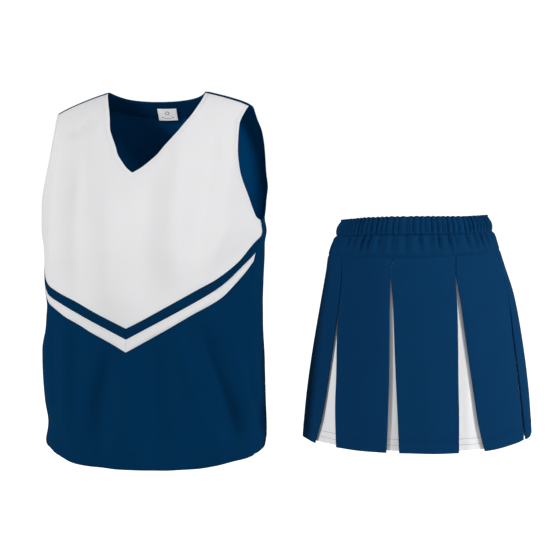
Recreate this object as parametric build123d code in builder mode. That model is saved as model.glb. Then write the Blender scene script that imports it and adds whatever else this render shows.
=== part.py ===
from build123d import *
import math
import os

# Cheer uniform: a sleeveless V-neck shell top and a pleated skirt, side by side.
# Millimetres. +Z up, fronts towards -Y, skirt on the +X side of the shell.
# Origin: middle of the shell's shoulders, at the height of the high shoulder points.

os.makedirs("parts", exist_ok=True)

# ---------------------------------------------------------------- shell sizes
shell_yaw = 16.5            # the shell is turned this much towards -X
superellipse_n = 2.25       # cross-section shape of the torso, front half
superellipse_back = 2.6     # the back half is squarer
fabric = 1.6                # double-knit panel with its turned edges
seam_gap = 0.35             # clearance between sewn neighbours

half_width_table = [(-580, 166.5), (-540, 167.5), (-500, 168.0), (-420, 168.5),
                    (-340, 169.0), (-260, 170.0), (-190, 170.5), (-100, 169.0), (20, 169.0)]
front_depth_table = [(-580, 117), (-540, 117), (-450, 115), (-350, 114),
                     (-260, 114), (-190, 111), (-120, 104), (-50, 100), (20, 100)]
back_depth_table = [(-580, 112), (-540, 112), (-450, 112), (-350, 112),
                    (-260, 112), (-190, 110), (-120, 108), (-50, 104), (20, 100)]
shoulder_table = [(0, 4.0), (60, 3.0), (77, 0.0), (100, -6.0), (120, -12.0),
                  (140, -19.0), (150, -23.5), (160, -29.0), (175, -40.0)]
chest_slope_front, chest_slope_back = 240.0, 200.0   # height over which the depth builds up
chest_round = 1.6

hem_side, hem_front_drop, hem_back_rise = -532.5, 8.0, 5.5
yoke_tip = -341.0           # lowest point of the white yoke at the centre front
chevron_slope = 0.475       # rise per length along the cloth
navy_strip_height = 15.5
white_strip_height = 16.5

neckline_front = [(0, -117.5), (11, -110.5), (20, -102.3), (30.6, -91.0), (37.5, -79.5),
                  (45.5, -68.0), (53, -56.8), (61, -40), (66.5, -28), (71, -18), (75, -7),
                  (77.5, 3), (79, 14)]
neckline_back = [(0, -13.5), (20, -13.0), (40, -11.2), (55, -8.6), (66, -5.0), (73, -1.5),
                 (77.5, 3), (80, 14)]
armhole_front = [(160, 0), (153.5, -18), (150.9, -28), (147.7, -39.5), (145.9, -47), (145.7, -57),
                 (146.5, -80), (147.5, -91), (149.3, -102.5), (151.4, -114), (154.3, -125),
                 (158, -136.5), (161.6, -148), (164.5, -159), (167.2, -171), (169.8, -183),
                 (172.5, -190), (185, -194)]
armhole_back = [(160, 0), (154, -18), (153, -28), (153.8, -40), (155.6, -57), (157.8, -80),
                (159.5, -100), (161.2, -120), (163.2, -140), (165.6, -158), (168, -173),
                (170, -184), (172.5, -190), (185, -194)]

facing_width = 26.0
facing_thick = 1.0
facing_depth = 3.0          # from the outer face of the panel
tape_width, tape_thick = 12.0, 0.6
label_w, label_h, label_thick = 30.0, 22.0, 0.6

# ---------------------------------------------------------------- skirt sizes
skirt_x = 394.5
skirt_top, casing_bottom, skirt_seam, skirt_hem = -186.0, -214.5, -242.2, -513.5
top_tilt, casing_tilt, seam_tilt = 5.0, 4.2, 3.5     # front of each level stands this much higher
skirt_half_width = [(-513.5, 169.5), (-450, 165.5), (-380, 156.0), (-310, 144.5), (-265, 132.8),
                    (-242.2, 128.3), (-214.5, 118.0), (-186.0, 113.0)]
skirt_half_depth = [(-513.5, 121.0), (-450, 119.0), (-380, 113.5), (-310, 105.0), (-265, 96.5),
                    (-242.2, 92.5), (-214.5, 86.0), (-186.0, 83.0)]
panel_names = ["front_centre", "front_right", "side_right", "back_right",
               "back_centre", "back_left", "side_left", "front_left"]
# panel edges as ellipse angles from the front, degrees, positive towards +X
panel_top = [(-19, 24), (24, 68.5), (68.5, 121), (121, 165),
             (165, 202), (202, 245.5), (245.5, 298.5), (298.5, 341)]
panel_hem = [(-11.2, 18.7), (33.7, 71), (82, 122), (130.5, 164.5),
             (173.5, 205.5), (214, 248), (256.4, 298), (314, 343)]
panel_thick = 1.6
panel_top_gap = 0.8
inset_depth = 4.0           # outer face of an inset behind the outer face of the panels
inset_thick = 1.2
inset_short = 2.5           # an inset hangs this much higher than the panels
inset_top_half, inset_hem_half = 29.0, 54.0
casing_wall, elastic_space = 1.2, 2.0
elastic_thick, elastic_height = 1.2, 22.0


# ---------------------------------------------------------------- curves
def curve(table, v):
    """Smooth interpolation through a table of (position, value)."""
    n = len(table)
    if v <= table[0][0]:
        return table[0][1]
    if v >= table[-1][0]:
        return table[-1][1]
    k = max(i for i in range(n - 1) if table[i][0] <= v)

    def slope(i):
        if i == 0:
            a, b = table[0], table[1]
        elif i == n - 1:
            a, b = table[-2], table[-1]
        else:
            a, b = table[i - 1], table[i + 1]
        return (b[1] - a[1]) / (b[0] - a[0])

    (x0, y0), (x1, y1) = table[k], table[k + 1]
    h = x1 - x0
    t = (v - x0) / h
    m0, m1 = slope(k) * h, slope(k + 1) * h
    return ((2 * t ** 3 - 3 * t ** 2 + 1) * y0 + (t ** 3 - 2 * t ** 2 + t) * m0
            + (-2 * t ** 3 + 3 * t ** 2) * y1 + (t ** 3 - t ** 2) * m1)


def section_table(steps=2000):
    pts, run = [], [0.0]
    for i in range(steps + 1):
        f = math.pi / 2 * i / steps
        s = math.sin(f) ** (2 / superellipse_n) if i else 0.0
        c = math.cos(f) ** (2 / superellipse_n) if i < steps else 0.0
        pts.append((s, c))
        if i:
            run.append(run[-1] + math.hypot(169.0 * (s - pts[-2][0]), 113.0 * (c - pts[-2][1])))
    return pts, run


SECTION, RUN = section_table()
quarter_girth = RUN[-1]


def across(t):
    """(sideways, forwards) factors of the cross-section at girth fraction t, 0 centre, 1 side."""
    s = min(max(t, 0.0), 1.0) * quarter_girth
    lo, hi = 0, len(RUN) - 1
    while hi - lo > 1:
        m = (lo + hi) // 2
        if RUN[m] <= s:
            lo = m
        else:
            hi = m
    f = (s - RUN[lo]) / (RUN[hi] - RUN[lo])
    return tuple(SECTION[lo][k] + f * (SECTION[hi][k] - SECTION[lo][k]) for k in (0, 1))


def chest(h, height):
    u = min(max(1 - h / height, 0.0), 1.0)
    return max(1 - u ** chest_round, 0.0) ** (1 / chest_round)


def shell_local(t, z, side, lift=0.0):
    """Point of the shell's outer surface. side -1 front, +1 back; lift moves it outwards."""
    def raw(t, z):
        s, c = across(abs(t))
        x = math.copysign(curve(half_width_table, z) * s, t)
        h = max(curve(shoulder_table, abs(x)) - z, 0.0)
        if side < 0:
            d = curve(front_depth_table, z) * c * chest(h, chest_slope_front)
        else:
            c = max(1 - s ** superellipse_back, 0.0) ** (1 / superellipse_back)
            d = curve(back_depth_table, z) * c * chest(h, chest_slope_back)
        return (x, side * (d + seam_gap), z)
    p = raw(t, z)
    if not lift:
        return p
    e = 0.004
    ta, tb = (t - e, t + e) if abs(t) < 1 - e else ((t - e, t) if t > 0 else (t, t + e))
    a, b = raw(ta, z), raw(tb, z)
    top = curve(shoulder_table, abs(p[0]))
    za, zb = z - 1.0, min(z + 1.0, top - 0.02)
    c, d = raw(t, za), raw(t, zb)
    u = [b[i] - a[i] for i in range(3)]
    v = [d[i] - c[i] for i in range(3)]
    nrm = [u[1] * v[2] - u[2] * v[1], u[2] * v[0] - u[0] * v[2], u[0] * v[1] - u[1] * v[0]]
    length = math.sqrt(sum(q * q for q in nrm)) or 1.0
    sign = 1 if nrm[1] * side > 0 or (abs(nrm[1]) < 1e-6 and nrm[0] * t > 0) else -1
    return tuple(p[i] + sign * lift * nrm[i] / length for i in range(3))


shell_plane = Plane(origin=(0, 0, 0),
                    x_dir=(math.cos(math.radians(shell_yaw)), -math.sin(math.radians(shell_yaw)), 0),
                    z_dir=(0, 0, 1))
shell_centre = Plane(origin=(0, 0, 0), x_dir=shell_plane.y_dir, z_dir=shell_plane.x_dir)
shell_front = Plane(origin=(0, 0, 0), x_dir=shell_plane.x_dir, z_dir=-shell_plane.y_dir)


def shell_point(t, z, side, lift=0.0):
    return shell_plane.from_local_coords(Vector(*shell_local(t, z, side, lift)))


def ridge(t):
    """Height of the shoulder line above girth fraction t."""
    return curve(shoulder_table, 169.0 * across(abs(t))[0])


def shell_face(t0, t1, low, high, side, lift=0.0, nt=15, nz=9, power=1.0):
    """Smooth face between the curves low(t) and high(t)."""
    rows = []
    for i in range(nt):
        t = t0 + (t1 - t0) * i / (nt - 1)
        top, bottom = high(t), low(t)
        rows.append([shell_point(t, top - (top - bottom) * (j / (nz - 1)) ** power, side, lift)
                     for j in range(nz)])
    return Face.make_surface_from_array_of_points(rows, tol=0.03, max_deg=4)


def inwards(face, thickness, centre):
    """Thickness with the sign that takes the face towards the point centre."""
    mid = face.position_at(0.5, 0.5)
    return thickness if face.normal_at(mid).dot(centre - mid) > 0 else -thickness


def line_z(tip, t):
    return tip + chevron_slope * quarter_girth * abs(t)


def hem_z(t, side):
    c = math.cos(min(abs(t), 1.0) * math.pi / 2) ** 2
    return hem_side - hem_front_drop * c if side < 0 else hem_side + hem_back_rise * c


navy_top = yoke_tip - seam_gap
navy_low = yoke_tip - navy_strip_height
white_top = navy_low - seam_gap
white_low = white_top - white_strip_height
body_top = white_low - seam_gap
inside = Vector(0, 0, -260)
over = -0.02                # girth fraction by which half patches pass the centre line


def outline(points):
    """Closed outline of a symmetric opening from its half profile."""
    Spline(*points)
    Spline(*[(-x, z) for x, z in points])
    Line(points[-1], (-points[-1][0], points[-1][1]))


def beyond(points, sign):
    """Closed outline of everything outside an armhole edge."""
    pts = [(sign * x, z) for x, z in points]
    Spline(*pts)
    Polyline(pts[-1], (sign * 230, pts[-1][1]), (sign * 230, 40), (pts[0][0], 40), pts[0])


# ---------------------------------------------------------------- shell panels
# Front yoke: white upper front, one half made and mirrored, then the neck and armholes cut.
yoke_face = shell_face(over, 1.0, lambda t: line_z(yoke_tip, max(t, 0)) + chevron_slope * quarter_girth * min(t, 0),
                       ridge, -1, nt=16, nz=19, power=1.6)
with BuildPart() as front_yoke:
    thicken(yoke_face, amount=inwards(yoke_face, fabric, inside))
    split(bisect_by=shell_centre, keep=Keep.TOP)
    mirror(about=shell_centre)
    with BuildSketch(shell_front) as neck_cut:
        with BuildLine():
            outline(neckline_front)
        make_face()
    extrude(amount=300, both=True, mode=Mode.SUBTRACT)
    for sign in (1, -1):
        with BuildSketch(shell_front):
            with BuildLine():
                beyond(armhole_front, sign)
            make_face()
        extrude(amount=300, both=True, mode=Mode.SUBTRACT)
front_yoke.part.label = "front_yoke"
export_step(front_yoke.part, "parts/front_yoke.step")

# Navy lower front below the chevron.
body_face = shell_face(over, 1.0, lambda t: hem_z(t, -1),
                       lambda t: line_z(body_top, max(t, 0)) + chevron_slope * quarter_girth * min(t, 0), -1, nt=14, nz=9)
with BuildPart() as front_body:
    thicken(body_face, amount=inwards(body_face, fabric, inside))
    split(bisect_by=shell_centre, keep=Keep.TOP)
    mirror(about=shell_centre)
front_body.part.label = "front_body"
export_step(front_body.part, "parts/front_body.step")

# Navy back panel, neck to hem.
back_face = shell_face(over, 1.0, lambda t: hem_z(t, 1), ridge, 1, nt=15, nz=23, power=1.5)
with BuildPart() as back_panel:
    thicken(back_face, amount=inwards(back_face, fabric, inside))
    split(bisect_by=shell_centre, keep=Keep.TOP)
    mirror(about=shell_centre)
    with BuildSketch(shell_front):
        with BuildLine():
            outline(neckline_back)
        make_face()
    extrude(amount=300, both=True, mode=Mode.SUBTRACT)
    for sign in (1, -1):
        with BuildSketch(shell_front):
            with BuildLine():
                beyond(armhole_back, sign)
            make_face()
        extrude(amount=300, both=True, mode=Mode.SUBTRACT)
back_panel.part.label = "back_panel"
export_step(back_panel.part, "parts/back_panel.step")

# Chevron strips, two colours, each cut in a left and a right piece that meet in a mitre.
strip_specs = {
    "chevron_navy_right": (1, navy_low, navy_top), "chevron_navy_left": (-1, navy_low, navy_top),
    "chevron_white_right": (1, white_low, white_top), "chevron_white_left": (-1, white_low, white_top),
}
for strip_name, (hand, low_tip, top_tip) in strip_specs.items():
    def strip_line(tip):
        return lambda t: tip + chevron_slope * quarter_girth * t * hand
    strip_face = shell_face(over * hand, 1.0 * hand, strip_line(low_tip), strip_line(top_tip), -1, nt=14, nz=4)
    mitre = Plane(origin=shell_plane.from_local_coords(Vector(0.1 * hand, 0, 0)),
                  x_dir=shell_plane.y_dir, z_dir=shell_plane.x_dir * hand)
    with BuildPart() as strip:
        thicken(strip_face, amount=inwards(strip_face, fabric, inside))
        split(bisect_by=mitre, keep=Keep.TOP)
    strip.part.label = strip_name
    export_step(strip.part, f"parts/{strip_name}.step")


# ---------------------------------------------------------------- shell inner pieces
def widened(points, width):
    """Profile moved outwards from the neck by width, square to the edge."""
    out = []
    for i, (x, z) in enumerate(points):
        a, b = points[max(i - 1, 0)], points[min(i + 1, len(points) - 1)]
        dx, dz = b[0] - a[0], b[1] - a[1]
        n = math.hypot(dx, dz)
        if i == 0:
            out.append((0.0, z - width * 1.05))
        else:
            out.append((x + width * dz / n, z - width * dx / n))
    return out


facing_edge_front = [(x + (0.6 if x else 0), z - 0.6) for x, z in neckline_front]
facing_edge_back = [(x + (0.6 if x else 0), z - 0.6) for x, z in neckline_back]

front_facing_face = shell_face(over, 0.86, lambda t: -190.0, lambda t: ridge(t) - 3.0, -1,
                               lift=-facing_depth, nt=13, nz=13, power=1.4)
with BuildPart() as neck_facing_front:
    thicken(front_facing_face, amount=inwards(front_facing_face, facing_thick, inside))
    split(bisect_by=shell_centre, keep=Keep.TOP)
    mirror(about=shell_centre)
    with BuildSketch(shell_front):
        with BuildLine():
            outline(widened(facing_edge_front, facing_width))
        make_face()
        with BuildLine():
            outline(facing_edge_front)
        make_face(mode=Mode.SUBTRACT)
    extrude(amount=300, both=True, mode=Mode.INTERSECT)
neck_facing_front.part.label = "neck_facing_front"
export_step(neck_facing_front.part, "parts/neck_facing_front.step")

back_facing_face = shell_face(over, 0.86, lambda t: -90.0, lambda t: ridge(t) - 3.0, 1,
                              lift=-facing_depth, nt=13, nz=11, power=1.4)
with BuildPart() as neck_facing_back:
    thicken(back_facing_face, amount=inwards(back_facing_face, facing_thick, inside))
    split(bisect_by=shell_centre, keep=Keep.TOP)
    mirror(about=shell_centre)
    with BuildSketch(shell_front):
        with BuildLine():
            outline(widened(facing_edge_back, facing_width))
        make_face()
        with BuildLine():
            outline(facing_edge_back)
        make_face(mode=Mode.SUBTRACT)
    extrude(amount=300, both=True, mode=Mode.INTERSECT)
neck_facing_back.part.label = "neck_facing_back"
export_step(neck_facing_back.part, "parts/neck_facing_back.step")

def ridge_drop(x, y):
    """How far the outer surface lies below the shoulder line at distance y from it."""
    side = x / 169.0
    if y < 0:
        c, depth, height = (1 - side ** superellipse_n) ** (1 / superellipse_n), 100.0, chest_slope_front
    else:
        c, depth, height = (1 - side ** superellipse_back) ** (1 / superellipse_back), 103.0, chest_slope_back
    return height * (1 - (1 - (abs(y) / (depth * c)) ** chest_round) ** (1 / chest_round))


# Stay tapes under the shoulder seams, bent over the ridge.
for tape_name, hand in (("shoulder_tape_right", 1), ("shoulder_tape_left", -1)):
    rows = []
    for i in range(7):
        x = 84 + (147 - 84) * i / 6
        row = []
        for j in range(7):
            w = -tape_width / 2 + tape_width * j / 6
            row.append(shell_plane.from_local_coords(
                Vector(hand * x, w, curve(shoulder_table, x) - ridge_drop(x, w) - fabric - 1.5)))
        rows.append(row)
    tape_face = Face.make_surface_from_array_of_points(rows, tol=0.03, max_deg=4)
    with BuildPart() as tape:
        thicken(tape_face, amount=inwards(tape_face, tape_thick, Vector(0, 0, -400)))
    tape.part.label = tape_name
    export_step(tape.part, f"parts/{tape_name}.step")

# Label sewn to the inside of the back neck.
label_z = -30.5
label_mid = shell_local(0.004, label_z, 1)
label_up = shell_local(0.004, label_z + 8, 1)
label_dir = Vector(0, label_up[1] - label_mid[1], 8).normalized()
label_in = Vector(0, -label_dir.Z, label_dir.Y)
label_origin = Vector(1.0, label_mid[1], label_z) + label_in * 6.2
label_plane = Plane(origin=shell_plane.from_local_coords(label_origin),
                    x_dir=shell_plane.x_dir,
                    z_dir=shell_plane.from_local_coords(label_in) - shell_plane.origin)
with BuildPart() as neck_label:
    with BuildSketch(label_plane):
        Rectangle(label_w, label_h)
    extrude(amount=label_thick)
neck_label.part.label = "neck_label"
export_step(neck_label.part, "parts/neck_label.step")


# ---------------------------------------------------------------- skirt
def level(z, tilt, offset=0.0, along=0.0):
    """Tilted plane of a skirt level and its ellipse's half sizes, inset by offset."""
    b = curve(skirt_half_depth, z)
    angle = math.atan2(tilt, b)
    plane = Plane(origin=(skirt_x, 0, z + along), x_dir=(1, 0, 0),
                  z_dir=(0, math.sin(angle), math.cos(angle)))
    return plane, curve(skirt_half_width, z) - offset, (b - offset) / math.cos(angle)


def band(*steps):
    """Walls between skirt levels, one loft after another.
    Each step is (mode, inset, lower z, its tilt, upper z, its tilt)."""
    with BuildPart() as made:
        for mode, inset, z_low, tilt_low, z_high, tilt_high in steps:
            low_plane, low_a, low_b = level(z_low, tilt_low, inset)
            high_plane, high_a, high_b = level(z_high, tilt_high, inset)
            with BuildSketch(low_plane) as low_section:
                Ellipse(low_a, low_b)
            with BuildSketch(high_plane) as high_section:
                Ellipse(high_a, high_b)
            loft(mode=mode)
    return made


def tilt_at(z):
    return casing_tilt + (top_tilt - casing_tilt) * (z - casing_bottom) / (skirt_top - casing_bottom)


# Casing: outer wall, fold at the top, inner wall; open below where the elastic is stitched in.
fold_z = skirt_top - 2.0
fold_tilt = tilt_at(fold_z)
inner_wall = casing_wall + elastic_space
waistband_casing = band(
    (Mode.ADD, 0.0, casing_bottom, casing_tilt, skirt_top, top_tilt),
    (Mode.SUBTRACT, casing_wall, casing_bottom - 2, casing_tilt, fold_z, fold_tilt),
    (Mode.ADD, inner_wall, casing_bottom, casing_tilt, fold_z + 0.2, fold_tilt),
    (Mode.SUBTRACT, inner_wall + casing_wall, casing_bottom - 2, casing_tilt, skirt_top + 2, top_tilt))
waistband_casing.part.label = "waistband_casing"
export_step(waistband_casing.part, "parts/waistband_casing.step")

# Elastic ring inside the casing.
elastic_low = casing_bottom + 1.5
elastic_high = elastic_low + elastic_height
elastic_out, elastic_in = casing_wall + 0.4, casing_wall + 0.4 + elastic_thick
waist_elastic = band(
    (Mode.ADD, elastic_out, elastic_low, tilt_at(elastic_low), elastic_high, tilt_at(elastic_high)),
    (Mode.SUBTRACT, elastic_in, elastic_low - 2, tilt_at(elastic_low), elastic_high + 2, tilt_at(elastic_high)))
waist_elastic.part.label = "waist_elastic"
export_step(waist_elastic.part, "parts/waist_elastic.step")

# Hip yoke: gathered ring between the casing and the pleats.
yoke_high = casing_bottom - 0.5
hip_yoke = band(
    (Mode.ADD, 0.0, skirt_seam, seam_tilt, yoke_high, casing_tilt),
    (Mode.SUBTRACT, fabric, skirt_seam - 0.01, seam_tilt, yoke_high + 0.01, casing_tilt))
hip_yoke.part.label = "hip_yoke"
export_step(hip_yoke.part, "parts/hip_yoke.step")


def skirt_point(angle, z, inset=0.0):
    """Point of the skirt's surface at an ellipse angle in degrees."""
    f = math.radians(angle)
    a, b = curve(skirt_half_width, z), curve(skirt_half_depth, z)
    n = Vector(math.sin(f) / a, -math.cos(f) / b, 0).normalized()
    return Vector(skirt_x + a * math.sin(f), -b * math.cos(f), z) - n * inset


def seam_z(angle, gap):
    return skirt_seam + seam_tilt * math.cos(math.radians(angle)) - gap


def rate(angle, z):
    """Arc length per degree of ellipse angle."""
    f = math.radians(angle)
    return math.hypot(curve(skirt_half_width, z) * math.cos(f), curve(skirt_half_depth, z) * math.sin(f)) * math.pi / 180


# Pleat panels: each hangs from the seam and gets its own hinge line there.
hinges = []
for k, panel_name in enumerate(panel_names):
    (t0, t1), (h0, h1) = panel_top[k], panel_hem[k]
    rows = []
    for i in range(9):
        f = i / 8
        top_angle = t0 + 0.35 / rate(t0, skirt_seam) + (t1 - t0 - 0.35 / rate(t0, skirt_seam) - 0.35 / rate(t1, skirt_seam)) * f
        hem_angle = h0 + (h1 - h0) * f
        top_z = seam_z(top_angle, panel_top_gap)
        rows.append([skirt_point(top_angle + (hem_angle - top_angle) * j / 10,
                                 top_z + (skirt_hem - top_z) * j / 10) for j in range(11)])
    panel_face = Face.make_surface_from_array_of_points(rows, tol=0.03, max_deg=4)
    with BuildPart() as panel:
        thicken(panel_face, amount=inwards(panel_face, panel_thick, Vector(skirt_x, 0, -380)))
    panel.part.label = f"pleat_{panel_name}"
    export_step(panel.part, f"parts/pleat_{panel_name}.step")
    mid = (t0 + t1) / 2
    hinges.append((f"pleat_{panel_name}", mid, skirt_point(mid, seam_z(mid, panel_top_gap))))

def inset_hem_mid(k):
    """Ellipse angle of the middle of the gap after panel k, at the hem."""
    k, nxt = k % 8, (k + 1) % 8
    return (panel_hem[k][1] + panel_hem[nxt][0] + (360 if nxt == 0 else 0)) / 2


# Pleat insets: contrast godets behind the gaps, one at each panel boundary.
for k, panel_name in enumerate(panel_names):
    nxt = (k + 1) % 8
    top_mid = panel_top[k][1]
    hem_mid = inset_hem_mid(k)
    before = inset_hem_mid(k - 1) - (360 if k == 0 else 0)
    after = inset_hem_mid(nxt) + (360 if nxt == 0 else 0)
    reach = (min(inset_hem_half / rate(hem_mid, skirt_hem), (hem_mid - before) / 2 - 0.7),
             min(inset_hem_half / rate(hem_mid, skirt_hem), (after - hem_mid) / 2 - 0.7))
    rows = []
    for i in range(9):
        f = -1 + 2 * i / 8
        top_angle = top_mid + f * inset_top_half / rate(top_mid, skirt_seam)
        hem_angle = hem_mid - reach[0] + (reach[0] + reach[1]) * i / 8
        top_z = seam_z(top_angle, panel_top_gap + 0.4)
        hem_z_inset = skirt_hem + inset_short
        rows.append([skirt_point(top_angle + (hem_angle - top_angle) * j / 10,
                                 top_z + (hem_z_inset - top_z) * j / 10, inset_depth) for j in range(11)])
    inset_face = Face.make_surface_from_array_of_points(rows, tol=0.03, max_deg=4)
    inset_name = f"inset_{panel_name}_to_{panel_names[nxt]}"
    with BuildPart() as inset:
        thicken(inset_face, amount=inwards(inset_face, inset_thick, Vector(skirt_x, 0, -380)))
    inset.part.label = inset_name
    export_step(inset.part, f"parts/{inset_name}.step")
    hinges.append((inset_name, top_mid, skirt_point(top_mid, seam_z(top_mid, panel_top_gap + 0.4), inset_depth)))

for name, angle, p in hinges:
    print(name, round(angle, 2), [round(v, 3) for v in (p.X, p.Y, p.Z)])
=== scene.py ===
import math
import random

import bpy
import numpy as np
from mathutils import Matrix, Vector
from mathutils.geometry import delaunay_2d_cdt


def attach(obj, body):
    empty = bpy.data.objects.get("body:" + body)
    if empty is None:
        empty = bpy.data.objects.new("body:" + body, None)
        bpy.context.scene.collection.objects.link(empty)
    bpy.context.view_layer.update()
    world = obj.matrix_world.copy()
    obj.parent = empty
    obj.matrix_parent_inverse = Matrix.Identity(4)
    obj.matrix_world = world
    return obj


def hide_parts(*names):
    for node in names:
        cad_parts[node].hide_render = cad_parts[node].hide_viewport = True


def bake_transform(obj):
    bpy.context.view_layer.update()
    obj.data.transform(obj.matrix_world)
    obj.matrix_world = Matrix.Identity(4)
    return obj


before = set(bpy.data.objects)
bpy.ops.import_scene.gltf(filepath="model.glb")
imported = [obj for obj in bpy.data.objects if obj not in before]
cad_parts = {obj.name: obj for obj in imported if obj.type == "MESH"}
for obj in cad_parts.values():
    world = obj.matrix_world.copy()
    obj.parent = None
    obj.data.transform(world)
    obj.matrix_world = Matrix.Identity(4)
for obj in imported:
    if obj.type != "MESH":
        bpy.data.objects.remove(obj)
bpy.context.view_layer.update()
scene = bpy.context.scene
rng = np.random.default_rng(7)

# ------------------------------------------------------------------ camera
cam_data = bpy.data.cameras.new("camera")
camera = bpy.data.objects.new("camera", cam_data)
scene.collection.objects.link(camera)
cam_data.lens, cam_data.sensor_width = 83.5, 36.0
cam_data.clip_end = 60.0
camera.location = (0.185, -1.9, -0.0835)
camera.rotation_euler = (math.radians(90 - 5.65), 0.0, 0.0)
scene.camera = camera
scene.view_settings.view_transform = "Standard"

# ------------------------------------------------------------------ sizes, mm (as the CAD solids)
YAW = math.radians(16.5)
SE_FRONT, SE_BACK = 2.25, 2.6
HALF_WIDTH = [(-580, 166.5), (-540, 167.5), (-500, 168.0), (-420, 168.5),
              (-340, 169.0), (-260, 170.0), (-190, 170.5), (-100, 169.0), (20, 169.0)]
FRONT_DEPTH = [(-580, 117), (-540, 117), (-450, 115), (-350, 114),
               (-260, 114), (-190, 111), (-120, 104), (-50, 100), (20, 100)]
BACK_DEPTH = [(-580, 112), (-540, 112), (-450, 112), (-350, 112),
              (-260, 112), (-190, 110), (-120, 108), (-50, 104), (20, 100)]
SHOULDER = [(0, 4.0), (60, 3.0), (77, 0.0), (100, -6.0), (120, -12.0),
            (140, -19.0), (150, -23.5), (160, -29.0), (175, -40.0)]
SLOPE_FRONT, SLOPE_BACK, ROUND = 240.0, 200.0, 1.6
NECK_FRONT = [(0, -117.5), (11, -110.5), (20, -102.3), (30.6, -91.0), (37.5, -79.5),
              (45.5, -68.0), (53, -56.8), (61, -40), (66.5, -28), (71, -18), (75, -7),
              (77.5, 3), (79, 14)]
NECK_BACK = [(0, -13.5), (20, -13.0), (40, -11.2), (55, -8.6), (66, -5.0), (73, -1.5),
             (77.5, 3), (80, 14)]
ARM_FRONT = [(160, 0), (153.5, -18), (150.9, -28), (147.7, -39.5), (145.9, -47), (145.7, -57),
             (146.5, -80), (147.5, -91), (149.3, -102.5), (151.4, -114), (154.3, -125),
             (158, -136.5), (161.6, -148), (164.5, -159), (167.2, -171), (169.8, -183),
             (172.5, -190), (185, -194)]
ARM_BACK = [(160, 0), (154, -18), (153, -28), (153.8, -40), (155.6, -57), (157.8, -80),
            (159.5, -100), (161.2, -120), (163.2, -140), (165.6, -158), (168, -173),
            (170, -184), (172.5, -190), (185, -194)]
ARM_BACK_RIGHT = [(160, 0), (157, -18), (157.5, -28), (160.5, -40), (163, -57), (165, -80),
                  (165.8, -100), (165.8, -120), (166.0, -140), (167, -158), (168.6, -173),
                  (170, -184), (172.5, -190), (185, -194)]
# how far the neckline sits off the centre as the shell hangs
NECK_SHIFT_FRONT = [(-117.5, 4.7), (-102.3, 6.8), (-79.5, 9.3), (-56.8, 12.0), (-38.8, 14.2), (-16, 11.5), (0, 7.5), (14, 7.0)]
NECK_SHIFT_BACK = [(-14, 6.0), (0, 7.0), (14, 7.0)]
# chevron seams as (distance round the cloth from the centre front, height)
YOKE_EDGE = [[(-228, -203), (-200, -225), (-176, -244), (-160, -262), (-148, -276), (-135, -283.5), (-120.5, -288),
              (-71, -304.3), (-30.6, -320.5), (6.4, -336.8)],
             [(6.4, -336.8), (27.9, -325.8), (69.8, -302.4), (108.9, -280.7), (138.9, -265.3), (169.1, -245.3),
              (193.9, -225), (212, -213), (228, -203)]]
WHITE_TOP = [[(-228, -218), (-200, -241), (-176, -261), (-160, -280), (-151, -290), (-140, -297.5),
              (-102.5, -308.5), (-43.9, -330.4), (6.2, -352.6)],
             [(6.2, -352.6), (56.9, -325.2), (109.5, -296.4), (141.5, -278.1), (158.8, -266.2), (172.3, -255.6),
              (190, -243.9), (212.8, -232), (228, -225)]]
WHITE_LOW = [[(-228, -234), (-200, -257), (-176, -278), (-160, -296), (-143.5, -309.3), (-121.8, -316.3),
              (-71.8, -334.5), (-31.1, -352.7), (6.0, -370.8)],
             [(6.0, -370.8), (56.8, -342.2), (98.3, -318.0), (134.5, -298.8), (147.6, -290.9), (166.9, -275.1),
              (189.5, -257.5), (205.4, -245.5), (228, -234)]]
SIDE_RIGHT = [(-560, 209), (-400, 206), (-300, 204), (-250, 205.5), (-233, 211), (-213, 217), (-200, 223), (-192, 228.3)]
SIDE_LEFT = [(-560, 204), (-400, 200), (-300, 198), (-250, 200), (-233, 206), (-213, 215), (-200, 222), (-192, 228.3)]
HEM_FRONT = [(-228, -528), (-170, -528.8), (-141.6, -530.2), (-123, -533.2), (-103, -536.6), (-74.7, -539.6), (-30, -540.4),
             (14.9, -540), (65.3, -538.6), (113.8, -536), (140.2, -533.4), (174.8, -531), (210, -529.3), (228, -528)]
ARM_LOW = -192.0

SKIRT_X = 394.5
SKIRT_TOP, CASING_LOW, SEAM, HEM = -186.0, -211.5, -242.2, -513.5
TOP_TILT, CASING_TILT, SEAM_TILT = 5.0, 4.2, 3.5
SKIRT_A = [(-513.5, 172.6), (-450, 166.5), (-380, 156.6), (-310, 144.0), (-265, 132.8),
           (-242.2, 127.3), (-214.5, 116.7), (-186.0, 110.5)]
SWAY = [(-513.5, 5.6), (-450, 5.6), (-380, 5.2), (-310, 3.6), (-265, -0.2), (-242.2, -2.4), (-214.5, -2.2), (-186.0, -2.0)]
SKIRT_B = [(-513.5, 121.0), (-450, 119.0), (-380, 113.5), (-310, 105.0), (-265, 96.5),
           (-242.2, 92.5), (-214.5, 86.0), (-186.0, 83.0)]
PANELS = ["front_centre", "front_right", "side_right", "back_right",
          "back_centre", "back_left", "side_left", "front_left"]
PANEL_TOP = [(-17.84, 24.23), (24.23, 66.88), (66.88, 121), (121, 165), (165, 202), (202, 245.5), (245.5, 300.67), (300.67, 342.16)]
PANEL_HEM = [(-13.04, 16.08), (29.77, 62.27), (62.7, 122), (130.5, 164.5), (173.5, 205.5), (214, 248), (256.4, 295.46), (312.13, 341.09)]
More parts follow.
